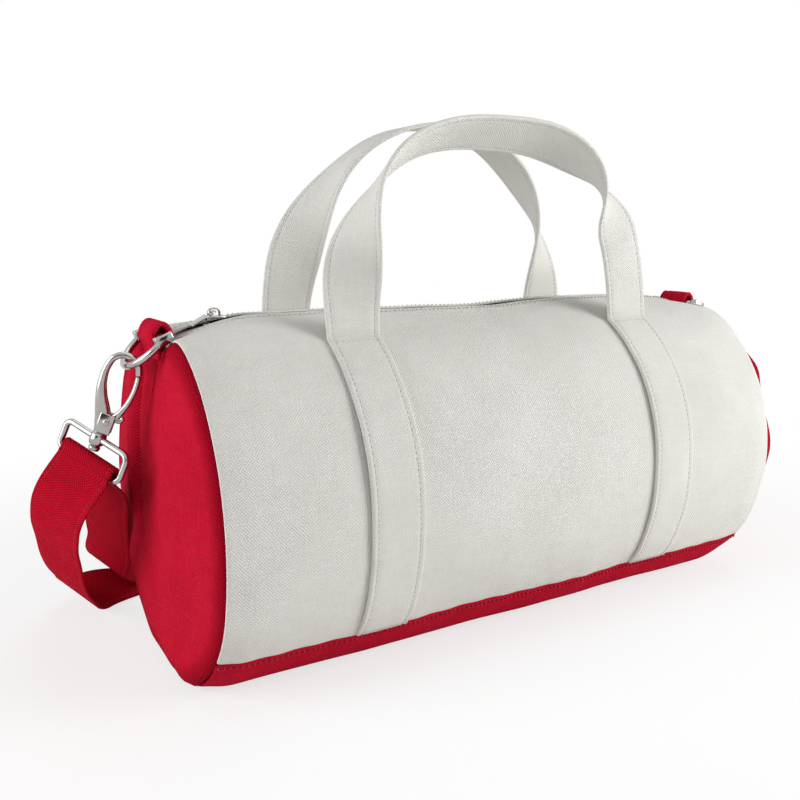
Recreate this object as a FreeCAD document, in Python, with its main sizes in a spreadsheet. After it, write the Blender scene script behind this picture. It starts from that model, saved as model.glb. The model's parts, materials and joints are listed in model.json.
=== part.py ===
import FreeCAD, Part
import math
import os

# Barrel bag: a canvas barrel lying along X, zip on top, two carrying handles and a clip-on strap.
# Millimetres, +Z up, front towards -Y, origin in the middle of the face that the bag rests on.

Vector = FreeCAD.Vector
Rotation = FreeCAD.Rotation
Placement = FreeCAD.Placement

ALONG = Vector(1, 0, 0)
DEPTH = Vector(0, 1, 0)
UP = Vector(0, 0, 1)

doc = FreeCAD.newDocument("barrel_bag")

# Driving sizes
SIZES = [
    ("barrel_length", 400, "barrel between its two end seams"),
    ("barrel_radius", 107, "upright half-axis of the barrel's oval section"),
    ("barrel_squeeze", 15, "how much shorter the level half-axis is"),
    ("floor_sag", 14, "how far the oval settles flat on the floor"),
    ("canvas", 1.6, "thickness of every canvas panel"),
    ("bottom_seam_height", 27, "height of the seam between side panels and bottom panel"),
    ("seam_clearance", 0.1, "gap where cloth is sewn on curved cloth"),
    ("binding_width", 10, "width of the tape that binds an end seam"),
    ("binding_thickness", 0.8, "thickness of that tape"),
    ("zip_gap", 12, "opening between the folded canvas edges over the zip"),
    ("zip_margin", 14, "from an end seam to the end of the rows of teeth"),
    ("tape_width", 12, "width of each zip tape"),
    ("tape_thickness", 0.8, "thickness of each zip tape"),
    ("teeth_width", 2, "width of one row of teeth"),
    ("teeth_height", 2.4, "height of the teeth"),
    ("teeth_parting", 1.4, "gap between the rows where the slider's post runs"),
    ("stop_length", 4, "length of a stop clip"),
    ("stop_width", 7, "width of a stop clip"),
    ("slider_setback", 32, "from the left end seam to the slider's middle"),
    ("slider_length", 11, "slider along the zip"),
    ("slider_width", 9, "slider across the zip"),
    ("slider_plate", 1.4, "thickness of the slider's two plates"),
    ("slider_post", 0.8, "thickness of the post between the plates"),
    ("slider_clearance", 0.3, "running gap of the slider on the teeth"),
    ("bridge_length", 6, "slider bridge along the zip"),
    ("bridge_width", 3, "slider bridge across the zip"),
    ("bridge_wall", 1.2, "thickness of the bridge"),
    ("pull_pin", 1.6, "diameter of the pull's crossbar"),
    ("pull_clearance", 0.3, "gap round the crossbar under the bridge"),
    ("pull_length", 19, "from the crossbar to the tip of the pull"),
    ("pull_width", 8, "width of the pull"),
    ("pull_thickness", 1.4, "thickness of the pull"),
    ("pull_window", 5, "length of the window that clears the bridge"),
    ("handle_width", 33, "width of the handle strips"),
    ("handle_thickness", 2.4, "thickness of the handle strips"),
    ("handle_spread", 104, "from the middle of the bag to the middle of a handle leg"),
    ("front_handle_rise", 116, "height of the front loop above its sewn line"),
    ("back_handle_rise", 125, "height of the back loop above its sewn line"),
    ("front_handle_square", 2.65, "exponent of the front loop: 2 is an ellipse, more is squarer"),
    ("back_handle_square", 2.1, "the same for the back loop"),
    ("handle_drop", 13, "from the top of the barrel down to the sewn line"),
    ("handle_clearance", 0.3, "gap between a folded handle and its sewn strip"),
    ("handle_root", 0.4, "how far a loop starts below its sewn line"),
    ("handle_lean", 5.7, "lean of the loops towards each other, degrees"),
    ("front_handle_turn", 115, "turn of the front strip from its legs to its top, degrees"),
    ("back_handle_turn", -97, "the same for the back strip, degrees"),
    ("tab_width", 26, "width of the loop that holds a D-ring"),
    ("tab_thickness", 2, "thickness of that loop"),
    ("tab_reach", 4.6, "from the end panel to the D-ring's bar"),
    ("dring_wire", 4, "diameter of the D-ring's wire"),
    ("dring_width", 34, "clear width of the D-ring"),
    ("dring_depth", 23, "from the bar to the bow, between wire centres"),
    ("dring_flare", 6, "diameter of the D-ring's corners"),
    ("dring_drop", 5, "from the top of the barrel down to the bar"),
    ("dring_hang", 58, "angle of the hanging D-ring below level, degrees"),
    ("ring_clearance", 0.3, "gap round a wire in a fold of cloth"),
    ("link_clearance", 1.3, "gap between the D-ring's bow and the hook's eye"),
    ("hook_drop", 59.4, "from the D-ring's bow to the bail's lower bar"),
    ("hook_out", 19.7, "lean of the hook away from the bag, degrees"),
    ("hook_back", 13.3, "lean of the hook towards the back, degrees"),
    ("bail_turn", -54.6, "turn of the bail about the hook's own line, degrees"),
    ("hook_turn", 30, "turn of the hook on its bail, degrees"),
    ("bail_wire", 4, "diameter of the bail's wire"),
    ("bail_slack", 3, "clear width of the bail beyond the strap"),
    ("bail_height", 16, "between the bail's two bars"),
    ("bail_corner", 3.5, "corner radius of the bail"),
    ("boss_length", 7, "length of the bail's boss"),
    ("boss_diameter", 8.4, "diameter of the bail's boss"),
    ("stem_diameter", 4, "diameter of the hook's swivel stem"),
    ("stem_fit", 0.08, "radial clearance of the stem in the boss"),
    ("stem_head", 6.4, "diameter of the stem's head"),
    ("stem_end_play", 0.3, "gap at each end of the boss"),
    ("head_length", 2.4, "length of the stem's head"),
    ("eye_wire", 4.4, "diameter of the hook's bent bar"),
    ("eye_radius", 8.5, "bend radius at the top of the hook"),
    ("eye_straight", 8.5, "straight run below that bend"),
    ("nose_angle", 10, "where the hook's nose stops short of level, degrees"),
    ("base_height", 13, "height of the hook's flat base"),
    ("base_thickness", 6, "thickness of the base"),
    ("base_foot", 8, "width of the base at the stem"),
    ("base_head", 14, "width of the base at its top"),
    ("base_shift", 0.5, "how far the base stands towards the gate"),
    ("gate_slot", 3.4, "slot in the base for the gate"),
    ("gate_thickness", 2.8, "thickness of the gate's knuckle"),
    ("gate_knuckle", 6.4, "diameter of the gate's knuckle"),
    ("gate_arm", 2.4, "diameter of the gate's arm in the slot"),
    ("gate_bar", 3.2, "diameter of the gate's bar"),
    ("gate_clearance", 0.4, "gap round the knuckle and at the nose"),
    ("gate_bend", 13, "height of the bend in the gate above its rivet"),
    ("rivet_diameter", 2.6, "diameter of the gate's rivet"),
    ("rivet_fit", 0.08, "radial clearance of the gate on its rivet"),
    ("rivet_head", 4.4, "diameter of the rivet's heads"),
    ("rivet_head_height", 0.6, "height of the rivet's heads"),
    ("rivet_offset", 1.5, "from the hook's line to the rivet"),
    ("rivet_height", 7, "rivet above the foot of the base"),
    ("spring_thickness", 0.5, "thickness of the gate's leaf spring"),
    ("spring_room", 0.8, "gap between the leaf spring and the knuckle"),
    ("spring_width", 2.6, "width of the leaf spring"),
    ("spring_length", 6, "length of the leaf spring"),
    ("strap_width", 38, "width of the shoulder strap"),
    ("strap_thickness", 1.6, "thickness of the shoulder strap"),
    ("strap_lift", 0.3, "gap between the strap and the floor"),
    ("strap_layer_gap", 0.4, "gap between two layers of the strap"),
    ("strap_lane", 58, "from the barrel's back to the middle of the strap on the floor"),
    ("landing_out", 24, "how far out from the end seam the strap comes down"),
    ("landing_in", 40, "how far in front of its lane the strap comes down"),
    ("landing_height", 9, "height of the strap's middle where it comes down"),
    ("return_height", 16, "height of the returning layer where it comes down"),
    ("flattening", 40, "height below which the hanging strap turns flat"),
    ("settle", 100, "run from the end seam to where the strap lies straight"),
    ("strap_bulge", 24, "how far the hanging strap stands out"),
    ("strap_tail", 34, "length of the sewn tail at the right bail"),
    ("glide_setback", 145, "from the left end seam to the glide's middle bar"),
    ("glide_tail", 7, "length of the strap's end sewn on the glide"),
    ("glide_length", 34, "glide along the strap"),
    ("glide_bar", 3, "width of each of the glide's bars"),
    ("glide_thickness", 2.5, "thickness of the glide"),
    ("glide_slack", 2, "clear width of the glide beyond the strap"),
    ("glide_clearance", 0.3, "gap between strap and glide"),
]

sheet = doc.addObject("Spreadsheet::Sheet", "sizes")
for row, (alias, value, note) in enumerate(SIZES, start=1):
    sheet.set(f"A{row}", alias)
    sheet.set(f"B{row}", str(value))
    sheet.set(f"C{row}", note)
    sheet.setAlias(f"B{row}", alias)
doc.recompute()


def size(alias):
    """The number in the sheet under this name."""
    return float(sheet.get(alias))


# Values worked out from the sheet, as expressions for bound sizes and as numbers for formed shapes
HALF = "sizes.barrel_length / 2"
TOP = "(2 * sizes.barrel_radius - sizes.floor_sag)"
CENTRE = "(sizes.barrel_radius - sizes.floor_sag)"
MARGIN = "sizes.barrel_radius * 2"
UNDER_CANVAS = "(sizes.canvas + sizes.seam_clearance)"

half_length = size("barrel_length") / 2
centre_height = size("barrel_radius") - size("floor_sag")
top_height = centre_height + size("barrel_radius")
half_width = size("barrel_radius") - size("barrel_squeeze")


def bind(thing, **expressions):
    """Tie properties of an object to the sheet; a double underscore stands for a dot."""
    for name, expression in expressions.items():
        thing.setExpression(name.replace("__", "."), expression)
    return thing


def place(thing, x="0", y="0", z="0"):
    """Tie an object's position to the sheet."""
    return bind(thing, Placement__Base__x=x, Placement__Base__y=y, Placement__Base__z=z)


def box(name, x, y, z):
    """A box between pairs of expressions on each axis."""
    block = doc.addObject("Part::Box", name)
    bind(block, Length=f"({x[1]}) - ({x[0]})", Width=f"({y[1]}) - ({y[0]})", Height=f"({z[1]}) - ({z[0]})")
    return place(block, x[0], y[0], z[0])


def rod(name, diameter, length, start, axis):
    """A cylinder from a point along an axis."""
    bar = doc.addObject("Part::Cylinder", name)
    bar.Placement = Placement(Vector(), Rotation(UP, axis))
    bind(bar, Radius=f"({diameter}) / 2", Height=length)
    return place(bar, *start)


def ball(name, diameter, centre):
    """A sphere about a point."""
    return place(bind(doc.addObject("Part::Sphere", name), Radius=f"({diameter}) / 2"), *centre)


def bend(name, radius, diameter, sweep, centre, turn):
    """Part of a ring of round wire, laid and turned by a rotation."""
    ring = doc.addObject("Part::Torus", name)
    ring.Placement = Placement(Vector(), turn)
    bind(ring, Radius1=radius, Radius2=f"({diameter}) / 2", Angle3=sweep)
    return place(ring, *centre)


def join(name, pieces):
    """Several overlapping shapes as one solid."""
    union = doc.addObject("Part::MultiFuse", name)
    union.Shapes = pieces
    union.Refine = True
    return union


def cut(name, base, tool):
    """One shape less another."""
    rest = doc.addObject("Part::Cut", name)
    rest.Base = base
    rest.Tool = tool
    return rest


def common(name, base, tool):
    """What two shapes share."""
    shared = doc.addObject("Part::Common", name)
    shared.Base = base
    shared.Tool = tool
    return shared


sub_parts = []


def keep(thing, label):
    """Name a finished sub-part and list it for export."""
    thing.Label = label
    sub_parts.append(thing)
    return thing


def formed(label, shape):
    """A sub-part whose shape is formed section by section."""
    feature = doc.addObject("Part::Feature", label + "_form")
    feature.Shape = shape
    return keep(feature, label)


# Barrel: ovals drawn in from the outer face of the canvas, run along X
def oval_bar(name, inset, length):
    """The barrel's oval, drawn in by an expression, as a solid bar centred on the bag."""
    oval = doc.addObject("Part::Ellipse", name + "_oval")
    oval.Placement = Placement(Vector(), Rotation(DEPTH, -90))
    bind(oval, MajorRadius=f"sizes.barrel_radius - ({inset})")
    bind(oval, MinorRadius=f"sizes.barrel_radius - sizes.barrel_squeeze - ({inset})")
    place(oval, z=CENTRE)
    bar = doc.addObject("Part::Extrusion", name)
    bar.Base = oval
    bar.DirMode = "Custom"
    bar.Dir = ALONG
    bar.Solid = True
    bar.Symmetric = True
    return bind(bar, LengthFwd=length)


def above(name, shape, height):
    """The part of a shape above a height."""
    span = (f"-{MARGIN} - {HALF}", f"{MARGIN} + {HALF}")
    room = box(name + "_room", span, (f"-{MARGIN}", MARGIN), (height, f"{TOP} + {MARGIN}"))
    return common(name, shape, room)


def oval_shell(name, outset, inset, length):
    """A closed oval layer between two insets."""
    return cut(name, oval_bar(name + "_outer", outset, length), oval_bar(name + "_inner", inset, length))


canvas_shell = oval_shell("canvas_shell", "0", "sizes.canvas", "sizes.barrel_length")
FULL = (f"-{HALF}", HALF)
FRONT_SIDE = (f"-{MARGIN}", "-sizes.zip_gap / 2")
BACK_SIDE = ("sizes.zip_gap / 2", MARGIN)
SIDE_HEIGHT = ("sizes.bottom_seam_height", f"{TOP} + 1")

for side, across in (("front", FRONT_SIDE), ("back", BACK_SIDE)):
    room = box(f"{side}_room", FULL, across, SIDE_HEIGHT)
    keep(common(f"{side}_wall", canvas_shell, room), f"{side}_panel")

# Bottom panel: the lower oval, settled flat on the floor
floor_outer = oval_bar("floor_outer", "0", "sizes.barrel_length")
floor_inner = oval_bar("floor_inner", "sizes.canvas", "sizes.barrel_length")
low_room = box("low_room", FULL, (f"-{MARGIN}", MARGIN), ("0", "sizes.bottom_seam_height"))
hollow = above("floor_hollow", floor_inner, "sizes.canvas")
keep(cut("floor_wall", common("floor_block", floor_outer, low_room), hollow), "bottom_panel")

# End panels and the tapes that bind their seams inside
for side, sign in (("left", "-"), ("right", "")):
    disc = oval_bar(f"{side}_disc", "0", "sizes.canvas")
    place(disc, x=f"{sign}({HALF} + sizes.canvas / 2)")
    keep(above(f"{side}_end", disc, "0"), f"{side}_end_panel")

    layer = oval_bar(f"{side}_bind_outer", UNDER_CANVAS, "sizes.binding_width")
    core = oval_bar(f"{side}_bind_inner", f"{UNDER_CANVAS} + sizes.binding_thickness", "sizes.binding_width")
    for thing in (layer, core):
        place(thing, x=f"{sign}({HALF} - sizes.binding_width / 2)")
    layer = above(f"{side}_bind_layer", layer, UNDER_CANVAS)
    core = above(f"{side}_bind_core", core, f"{UNDER_CANVAS} + sizes.binding_thickness")
    zip_reach = "sizes.teeth_parting / 2 + sizes.teeth_width + sizes.tape_width + sizes.binding_thickness"
    notch = box(f"{side}_bind_notch", (f"-{MARGIN} - {HALF}", f"{MARGIN} + {HALF}"),
                (f"-({zip_reach})", zip_reach), (CENTRE, f"{TOP} + 1"))
    keep(cut(f"{side}_bind", cut(f"{side}_bind_ring", layer, core), notch), f"{side}_binding")

# Zip: tapes under the canvas edges, a row of teeth on each, stops at both ends
ZIP_HALF = f"({HALF} - sizes.zip_margin)"
TAPE_INNER = f"{UNDER_CANVAS} + sizes.tape_thickness"
tape_shell = oval_shell("tape_shell", UNDER_CANVAS, TAPE_INNER, f"2 * {ZIP_HALF}")
ROW_IN = "sizes.teeth_parting / 2"
ROW_OUT = f"({ROW_IN} + sizes.teeth_width)"
TAPE_OUT = f"({ROW_OUT} + sizes.tape_width)"
TEETH_MIDDLE = f"({TOP} - {UNDER_CANVAS} - sizes.tape_thickness / 2)"
TEETH_LOW = f"({TEETH_MIDDLE} - sizes.teeth_height / 2)"
TEETH_HIGH = f"({TEETH_MIDDLE} + sizes.teeth_height / 2)"
ZIP_SPAN = (f"-{ZIP_HALF}", ZIP_HALF)
TAPE_HEIGHT = (CENTRE, f"{TOP} + 1")

for side, rows, tapes in (("front", (f"-{ROW_OUT}", f"-{ROW_IN}"), (f"-{TAPE_OUT}", f"-{ROW_OUT}")),
                          ("back", (ROW_IN, ROW_OUT), (ROW_OUT, TAPE_OUT))):
    keep(common(f"{side}_tape", tape_shell, box(f"{side}_tape_room", ZIP_SPAN, tapes, TAPE_HEIGHT)),
         f"zip_tape_{side}")
    keep(box(f"{side}_teeth", ZIP_SPAN, rows, (TEETH_LOW, TEETH_HIGH)), f"zip_teeth_{side}")

STOP_ACROSS = ("-sizes.stop_width / 2", "sizes.stop_width / 2")
STOP_FAR = f"({ZIP_HALF} + sizes.stop_length)"
stop_left = box("stop_left", (f"-{STOP_FAR}", f"-{ZIP_HALF}"), STOP_ACROSS, (TEETH_LOW, TEETH_HIGH))
keep(stop_left, "zip_stop_left")
keep(box("stop_right", (ZIP_HALF, STOP_FAR), STOP_ACROSS, (TEETH_LOW, TEETH_HIGH)), "zip_stop_right")

# Zip slider: two plates on a post, with a bridge for the pull
SLIDER_X = f"(sizes.slider_setback - {HALF})"
PLATE_LOW = f"({TEETH_HIGH} + sizes.slider_clearance)"
PLATE_HIGH = f"({PLATE_LOW} + sizes.slider_plate)"
KEEL_HIGH = f"({TEETH_LOW} - sizes.slider_clearance)"
KEEL_LOW = f"({KEEL_HIGH} - sizes.slider_plate)"
PIN_HEIGHT = f"({PLATE_HIGH} + sizes.pull_clearance + sizes.pull_pin / 2)"
BRIDGE_INNER = f"({PLATE_HIGH} + sizes.pull_pin + 2 * sizes.pull_clearance)"
BRIDGE_HIGH = f"({BRIDGE_INNER} + sizes.bridge_wall)"
PLATE_LONG = (f"{SLIDER_X} - sizes.slider_length / 2", f"{SLIDER_X} + sizes.slider_length / 2")
PLATE_WIDE = ("-sizes.slider_width / 2", "sizes.slider_width / 2")
BRIDGE_LONG = (f"{SLIDER_X} - sizes.bridge_length / 2", f"{SLIDER_X} + sizes.bridge_length / 2")
BRIDGE_WIDE = ("-sizes.bridge_width / 2", "sizes.bridge_width / 2")
POST_LONG = (f"{SLIDER_X} - sizes.slider_length / 2", f"{SLIDER_X} - sizes.slider_length / 4")
POST_WIDE = ("-sizes.slider_post / 2", "sizes.slider_post / 2")
GAP_LONG = (f"{BRIDGE_LONG[0]} + sizes.bridge_wall", f"{BRIDGE_LONG[1]} - sizes.bridge_wall")

plates = [
    box("slider_top", PLATE_LONG, PLATE_WIDE, (PLATE_LOW, PLATE_HIGH)),
    box("slider_keel", PLATE_LONG, PLATE_WIDE, (KEEL_LOW, KEEL_HIGH)),
    box("slider_stem", POST_LONG, POST_WIDE, (KEEL_LOW, PLATE_HIGH)),
    cut("slider_bridge", box("bridge_block", BRIDGE_LONG, BRIDGE_WIDE, (PLATE_HIGH, BRIDGE_HIGH)),
        box("bridge_gap", GAP_LONG, PLATE_WIDE, (PLATE_HIGH, BRIDGE_INNER))),
]
keep(join("slider", plates), "zip_slider")

# Zip pull: a plate with a window, hung by its crossbar under the bridge
PULL_TIP = f"({SLIDER_X} - sizes.pull_length)"
PULL_LOW = f"({PIN_HEIGHT} - sizes.pull_thickness / 2)"
PULL_HIGH = f"({PIN_HEIGHT} + sizes.pull_thickness / 2)"
PULL_WIDE = ("-sizes.pull_width / 2", "sizes.pull_width / 2")
WINDOW_HALF = "(sizes.bridge_width / 2 + sizes.pull_clearance)"
WINDOW_WIDE = (f"-{WINDOW_HALF}", WINDOW_HALF)
pull_plate = box("pull_plate", (PULL_TIP, SLIDER_X), PULL_WIDE, (PULL_LOW, PULL_HIGH))
pull_window = box("pull_window_room", (f"{SLIDER_X} - sizes.pull_window", f"{SLIDER_X} + 1"),
                  WINDOW_WIDE, (f"{PULL_LOW} - 1", f"{PULL_HIGH} + 1"))
pull_pin = rod("pull_crossbar", "sizes.pull_pin", "sizes.pull_width",
               (SLIDER_X, "-sizes.pull_width / 2", PIN_HEIGHT), DEPTH)
keep(join("pull", [cut("pull_frame", pull_plate, pull_window), pull_pin]), "zip_pull")

# Handle strips sewn down on the panels, from the bottom seam up to the sewn line
ON_CANVAS = "-sizes.seam_clearance"
STRIP_OUTER = f"{ON_CANVAS} - sizes.handle_thickness"
strip_shell = oval_shell("strip_shell", STRIP_OUTER, ON_CANVAS, "sizes.barrel_length")
LEG_IN = "(sizes.handle_spread - sizes.handle_width / 2)"
LEG_OUT = "(sizes.handle_spread + sizes.handle_width / 2)"
STRIP_HEIGHT = ("sizes.bottom_seam_height", f"{TOP} - sizes.handle_drop")
for face, across in (("front", (f"-{MARGIN}", "0")), ("back", ("0", MARGIN))):
    for side, along in (("left", (f"-{LEG_OUT}", f"-{LEG_IN}")), ("right", (LEG_IN, LEG_OUT))):
        room = box(f"{face}_{side}_strip_room", along, across, STRIP_HEIGHT)
        keep(common(f"{face}_{side}_strip", strip_shell, room), f"{face}_strip_{side}")

doc.recompute()


# Flat strips: a ruled skin through rectangles along a path
def strip_section(centre, across, along, width, thickness):
    """A rectangle of webbing, square to the path."""
    along = Vector(along).normalize()
    across = (across - along * across.dot(along)).normalize()
    face = along.cross(across)
    corners = []
    for a, b in ((-0.5, -0.5), (0.5, -0.5), (0.5, 0.5), (-0.5, 0.5)):
        corners.append(centre + across * (a * width) + face * (b * thickness))
    return Part.makePolygon(corners + corners[:1])


def strip_solid(stations, width, thickness):
    """A strip through stations of centre, width direction and path direction."""
    wires = [strip_section(centre, across, along, width, thickness) for centre, across, along in stations]
    solid = Part.makeLoft(wires, True, True)
    if solid.Volume < 0:
        solid.reverse()
    return solid


def path_directions(points):
    """The direction of a path at each of its points."""
    last = len(points) - 1
    return [(points[min(i + 1, last)] - points[max(i - 1, 0)]).normalize() for i in range(last + 1)]


def smooth(value):
    """An even step from 0 to 1."""
    value = min(max(value, 0.0), 1.0)
    return value * value * (3 - 2 * value)


# Handle loops: squared arches whose strip turns over between its legs and its top
LOOP_SECTIONS = 40

# Shares of a loop's height between which its left leg and its right leg turn over
LEG_TURNS = {"front": ((0.0, 0.89), (0.47, 1.0)), "back": ((0.05, 0.88), (0.0, 0.86))}


def sewn_line():
    """Depth and height of the line that a loop folds on, just outside the front strip."""
    reach = size("seam_clearance") + size("handle_thickness")
    level, upright = half_width + reach, size("barrel_radius") + reach
    height = top_height - size("handle_drop")
    depth = level * math.sqrt(1 - ((height - centre_height) / upright) ** 2)
    slope = Vector(0, -depth / level ** 2, (height - centre_height) / upright ** 2).normalize()
    return Vector(0, -depth, height) + slope * (size("handle_thickness") / 2 + size("handle_clearance"))


def handle_loop(name, sign):
    """The loop on the front (sign 1) or the back (sign -1)."""
    loop_rise, square, turn = (size(f"{name}_handle_{key}") for key in ("rise", "square", "turn"))
    root = sewn_line()
    root.y *= sign
    lean = math.radians(size("handle_lean"))
    rise = Vector(0, sign * math.sin(lean), math.cos(lean))
    outward = Vector(0, -sign * math.cos(lean), math.sin(lean))
    power = 2 / square
    points = []
    heights = []
    for i in range(LOOP_SECTIONS + 1):
        angle = math.pi * i / LOOP_SECTIONS
        across = -math.copysign(abs(math.cos(angle)) ** power, math.cos(angle)) * size("handle_spread")
        height = math.sin(angle) ** power if 0 < i < LOOP_SECTIONS else 0.0
        foot = size("handle_root") * (1 - height)
        points.append(root + ALONG * across + rise * (height * loop_rise - foot))
        heights.append(height)
    stations = []
    directions = path_directions(points)
    directions[0] = rise
    directions[-1] = rise * -1
    for point, along, height in zip(points, directions, heights):
        inward = along.cross(outward) * sign
        start, end = LEG_TURNS[name][point.x > 0]
        twist = math.radians(turn) * smooth((height - start) / (end - start))
        stations.append((point, inward * math.cos(twist) + outward * math.sin(twist), along))
    return strip_solid(stations, size("handle_width"), size("handle_thickness"))


formed("front_handle", handle_loop("front", 1))
formed("back_handle", handle_loop("back", -1))

# Tabs: a loop of canvas round each D-ring's bar, closed on the end panel
BAR_X = f"({HALF} + sizes.canvas + sizes.tab_reach)"
BAR_Z = f"({TOP} - sizes.dring_drop)"
EYELET = "(sizes.dring_wire + 2 * sizes.ring_clearance)"
TAB_ROUND = f"({EYELET} + 2 * sizes.tab_thickness)"
TAB_ACROSS = ("-sizes.tab_width / 2", "sizes.tab_width / 2")
TAB_HEIGHT = (f"{BAR_Z} - sizes.tab_thickness", f"{BAR_Z} + sizes.tab_thickness")

for side, sign in (("left", "-"), ("right", "")):
    start = (f"{sign}{BAR_X}", TAB_ACROSS[0], BAR_Z)
    fold = rod(f"{side}_tab_fold", TAB_ROUND, "sizes.tab_width", start, DEPTH)
    edges = (f"{sign}{BAR_X}", f"{sign}({HALF} + sizes.canvas)")
    tongue = box(f"{side}_tab_tongue", edges if sign else edges[::-1], TAB_ACROSS, TAB_HEIGHT)
    bore = rod(f"{side}_tab_bore", EYELET, "sizes.tab_width", start, DEPTH)
    keep(cut(f"{side}_tab_loop", join(f"{side}_tab_round", [fold, tongue]), bore), f"{side}_tab")

# D-rings: bar along Y, flared corners, two legs and a half-round bow, hanging outwards
RING_HALF = "((sizes.dring_width + sizes.dring_wire) / 2)"
LEG = f"(sizes.dring_depth - {RING_HALF})"


def dring(side, hang):
    """A D-ring drawn with its bow towards +X, then turned about its bar."""
    bar_foot = ("0", f"-{RING_HALF}", "0")
    pieces = [rod(f"{side}_dring_bar", "sizes.dring_wire", f"2 * {RING_HALF}", bar_foot, DEPTH)]
    for end, sign in (("near", "-"), ("far", "")):
        corner = ("0", f"{sign}{RING_HALF}", "0")
        pieces.append(ball(f"{side}_dring_{end}_corner", "sizes.dring_flare", corner))
        leg = doc.addObject("Part::Cone", f"{side}_dring_{end}_leg")
        leg.Placement = Placement(Vector(), Rotation(UP, ALONG))
        bind(leg, Radius1="sizes.dring_flare / 2", Radius2="sizes.dring_wire / 2", Height=LEG)
        pieces.append(place(leg, y=f"{sign}{RING_HALF}"))
    bow = bend(f"{side}_dring_bow", RING_HALF, "sizes.dring_wire", "180", (LEG, "0", "0"), Rotation(UP, -90))
    ring = join(f"{side}_dring_wire", pieces + [bow])
    ring.Placement = Placement(Vector(), Rotation(DEPTH, hang))
    return ring


for side, sign, hang in (("left", "-", 180 - size("dring_hang")), ("right", "", size("dring_hang"))):
    keep(place(dring(side, hang), x=f"{sign}{BAR_X}", z=BAR_Z), f"{side}_dring")


# Hook frames: the bail's lower bar and the turned axes of bail and hook at each end
def bow_point(sign):
    """The middle of the D-ring's bow at the left (sign -1) or right (sign 1) end."""
    hang = math.radians(size("dring_hang"))
    bar_x = half_length + size("canvas") + size("tab_reach")
    bar_z = top_height - size("dring_drop")
    depth = size("dring_depth")
    return Vector(sign * (bar_x + depth * math.cos(hang)), 0, bar_z - depth * math.sin(hang))


def hook_frame(sign, turn):
    """Placement at the bail's lower bar: X across, Z up along the hook."""
    lean = Rotation(DEPTH, -sign * size("hook_out")).multiply(Rotation(ALONG, size("hook_back")))
    turned = lean.multiply(Rotation(UP, -sign * turn))
    down = turned.multVec(UP) * -size("hook_drop")
    return Placement(bow_point(sign) + down, turned)


BAIL_HALF = "((sizes.strap_width + sizes.bail_slack + sizes.bail_wire) / 2)"
BAIL_SIDE = "(sizes.bail_height - 2 * sizes.bail_corner)"
BAIL_BAR = f"(2 * ({BAIL_HALF} - sizes.bail_corner))"
BOSS_LOW = "(sizes.bail_height - sizes.boss_length / 2)"
BOSS_HIGH = "(sizes.bail_height + sizes.boss_length / 2)"
UPRIGHT = Rotation(ALONG, 90)


def bail(side):
    """A rounded ring of wire with a drilled boss in the middle of its upper bar."""
    wire = "sizes.bail_wire"
    inner = f"({BAIL_HALF} - sizes.bail_corner)"
    pieces = []
    for bar, height in (("lower", "0"), ("upper", "sizes.bail_height")):
        pieces.append(rod(f"{side}_bail_{bar}", wire, BAIL_BAR, (f"-{inner}", "0", height), ALONG))
    corners = (("right_upper", "", "sizes.bail_height - sizes.bail_corner", 0),
               ("left_upper", "-", "sizes.bail_height - sizes.bail_corner", 90),
               ("left_lower", "-", "sizes.bail_corner", 180),
               ("right_lower", "", "sizes.bail_corner", 270))
    for corner, sign, height, start in corners:
        turn = UPRIGHT.multiply(Rotation(UP, start))
        centre = (f"{sign}{inner}", "0", height)
        pieces.append(bend(f"{side}_bail_{corner}", "sizes.bail_corner", wire, "90", centre, turn))
    for edge, sign in (("left", "-"), ("right", "")):
        foot = (f"{sign}{BAIL_HALF}", "0", "sizes.bail_corner")
        pieces.append(rod(f"{side}_bail_{edge}", wire, BAIL_SIDE, foot, UP))
    boss_foot = ("0", "0", BOSS_LOW)
    pieces.append(rod(f"{side}_bail_boss", "sizes.boss_diameter", "sizes.boss_length", boss_foot, UP))
    bore = rod(f"{side}_bail_bore", "sizes.stem_diameter + 2 * sizes.stem_fit", "sizes.boss_length + 2",
               ("0", "0", f"{BOSS_LOW} - 1"), UP)
    return cut(f"{side}_bail_drilled", join(f"{side}_bail_ring", pieces), bore)


# Heights along the hook, from the bail's lower bar
BASE_LOW = f"({BOSS_HIGH} + sizes.stem_end_play)"
BASE_HIGH = f"({BASE_LOW} + sizes.base_height)"
HEAD_HIGH = f"({BOSS_LOW} - sizes.stem_end_play)"
HEAD_LOW = f"({HEAD_HIGH} - sizes.head_length)"
EYE_TOP = "(sizes.hook_drop + sizes.dring_wire / 2 + sizes.link_clearance + sizes.eye_wire / 2)"
EYE_CENTRE = f"({EYE_TOP} - sizes.eye_radius)"
EYE_LOW = f"({EYE_CENTRE} - sizes.eye_straight)"
RIVET_Z = f"({BASE_LOW} + sizes.rivet_height)"
KNUCKLE_LEFT = "(sizes.rivet_offset - sizes.gate_knuckle / 2)"
SPRING_LEFT = f"({KNUCKLE_LEFT} - sizes.spring_room - sizes.spring_thickness)"
SLOT_LOW = f"({RIVET_Z} - sizes.gate_knuckle / 2 - sizes.gate_clearance)"


def leaning_rod(name, diameter, start, end):
    """A round bar between two points of the hook's own XZ plane, given as pairs of expressions."""
    run = f"(({end[0]}) - ({start[0]}))"
    climb = f"(({end[1]}) - ({start[1]}))"
    bar = doc.addObject("Part::Cylinder", name)
    bar.Placement = Placement(Vector(), Rotation(DEPTH, 1))
    bind(bar, Radius=f"({diameter}) / 2", Height=f"sqrt({run} * {run} + {climb} * {climb})")
    bind(bar, Placement__Rotation__Angle=f"atan2({run}; {climb})")
    return place(bar, start[0], "0", start[1])


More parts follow.
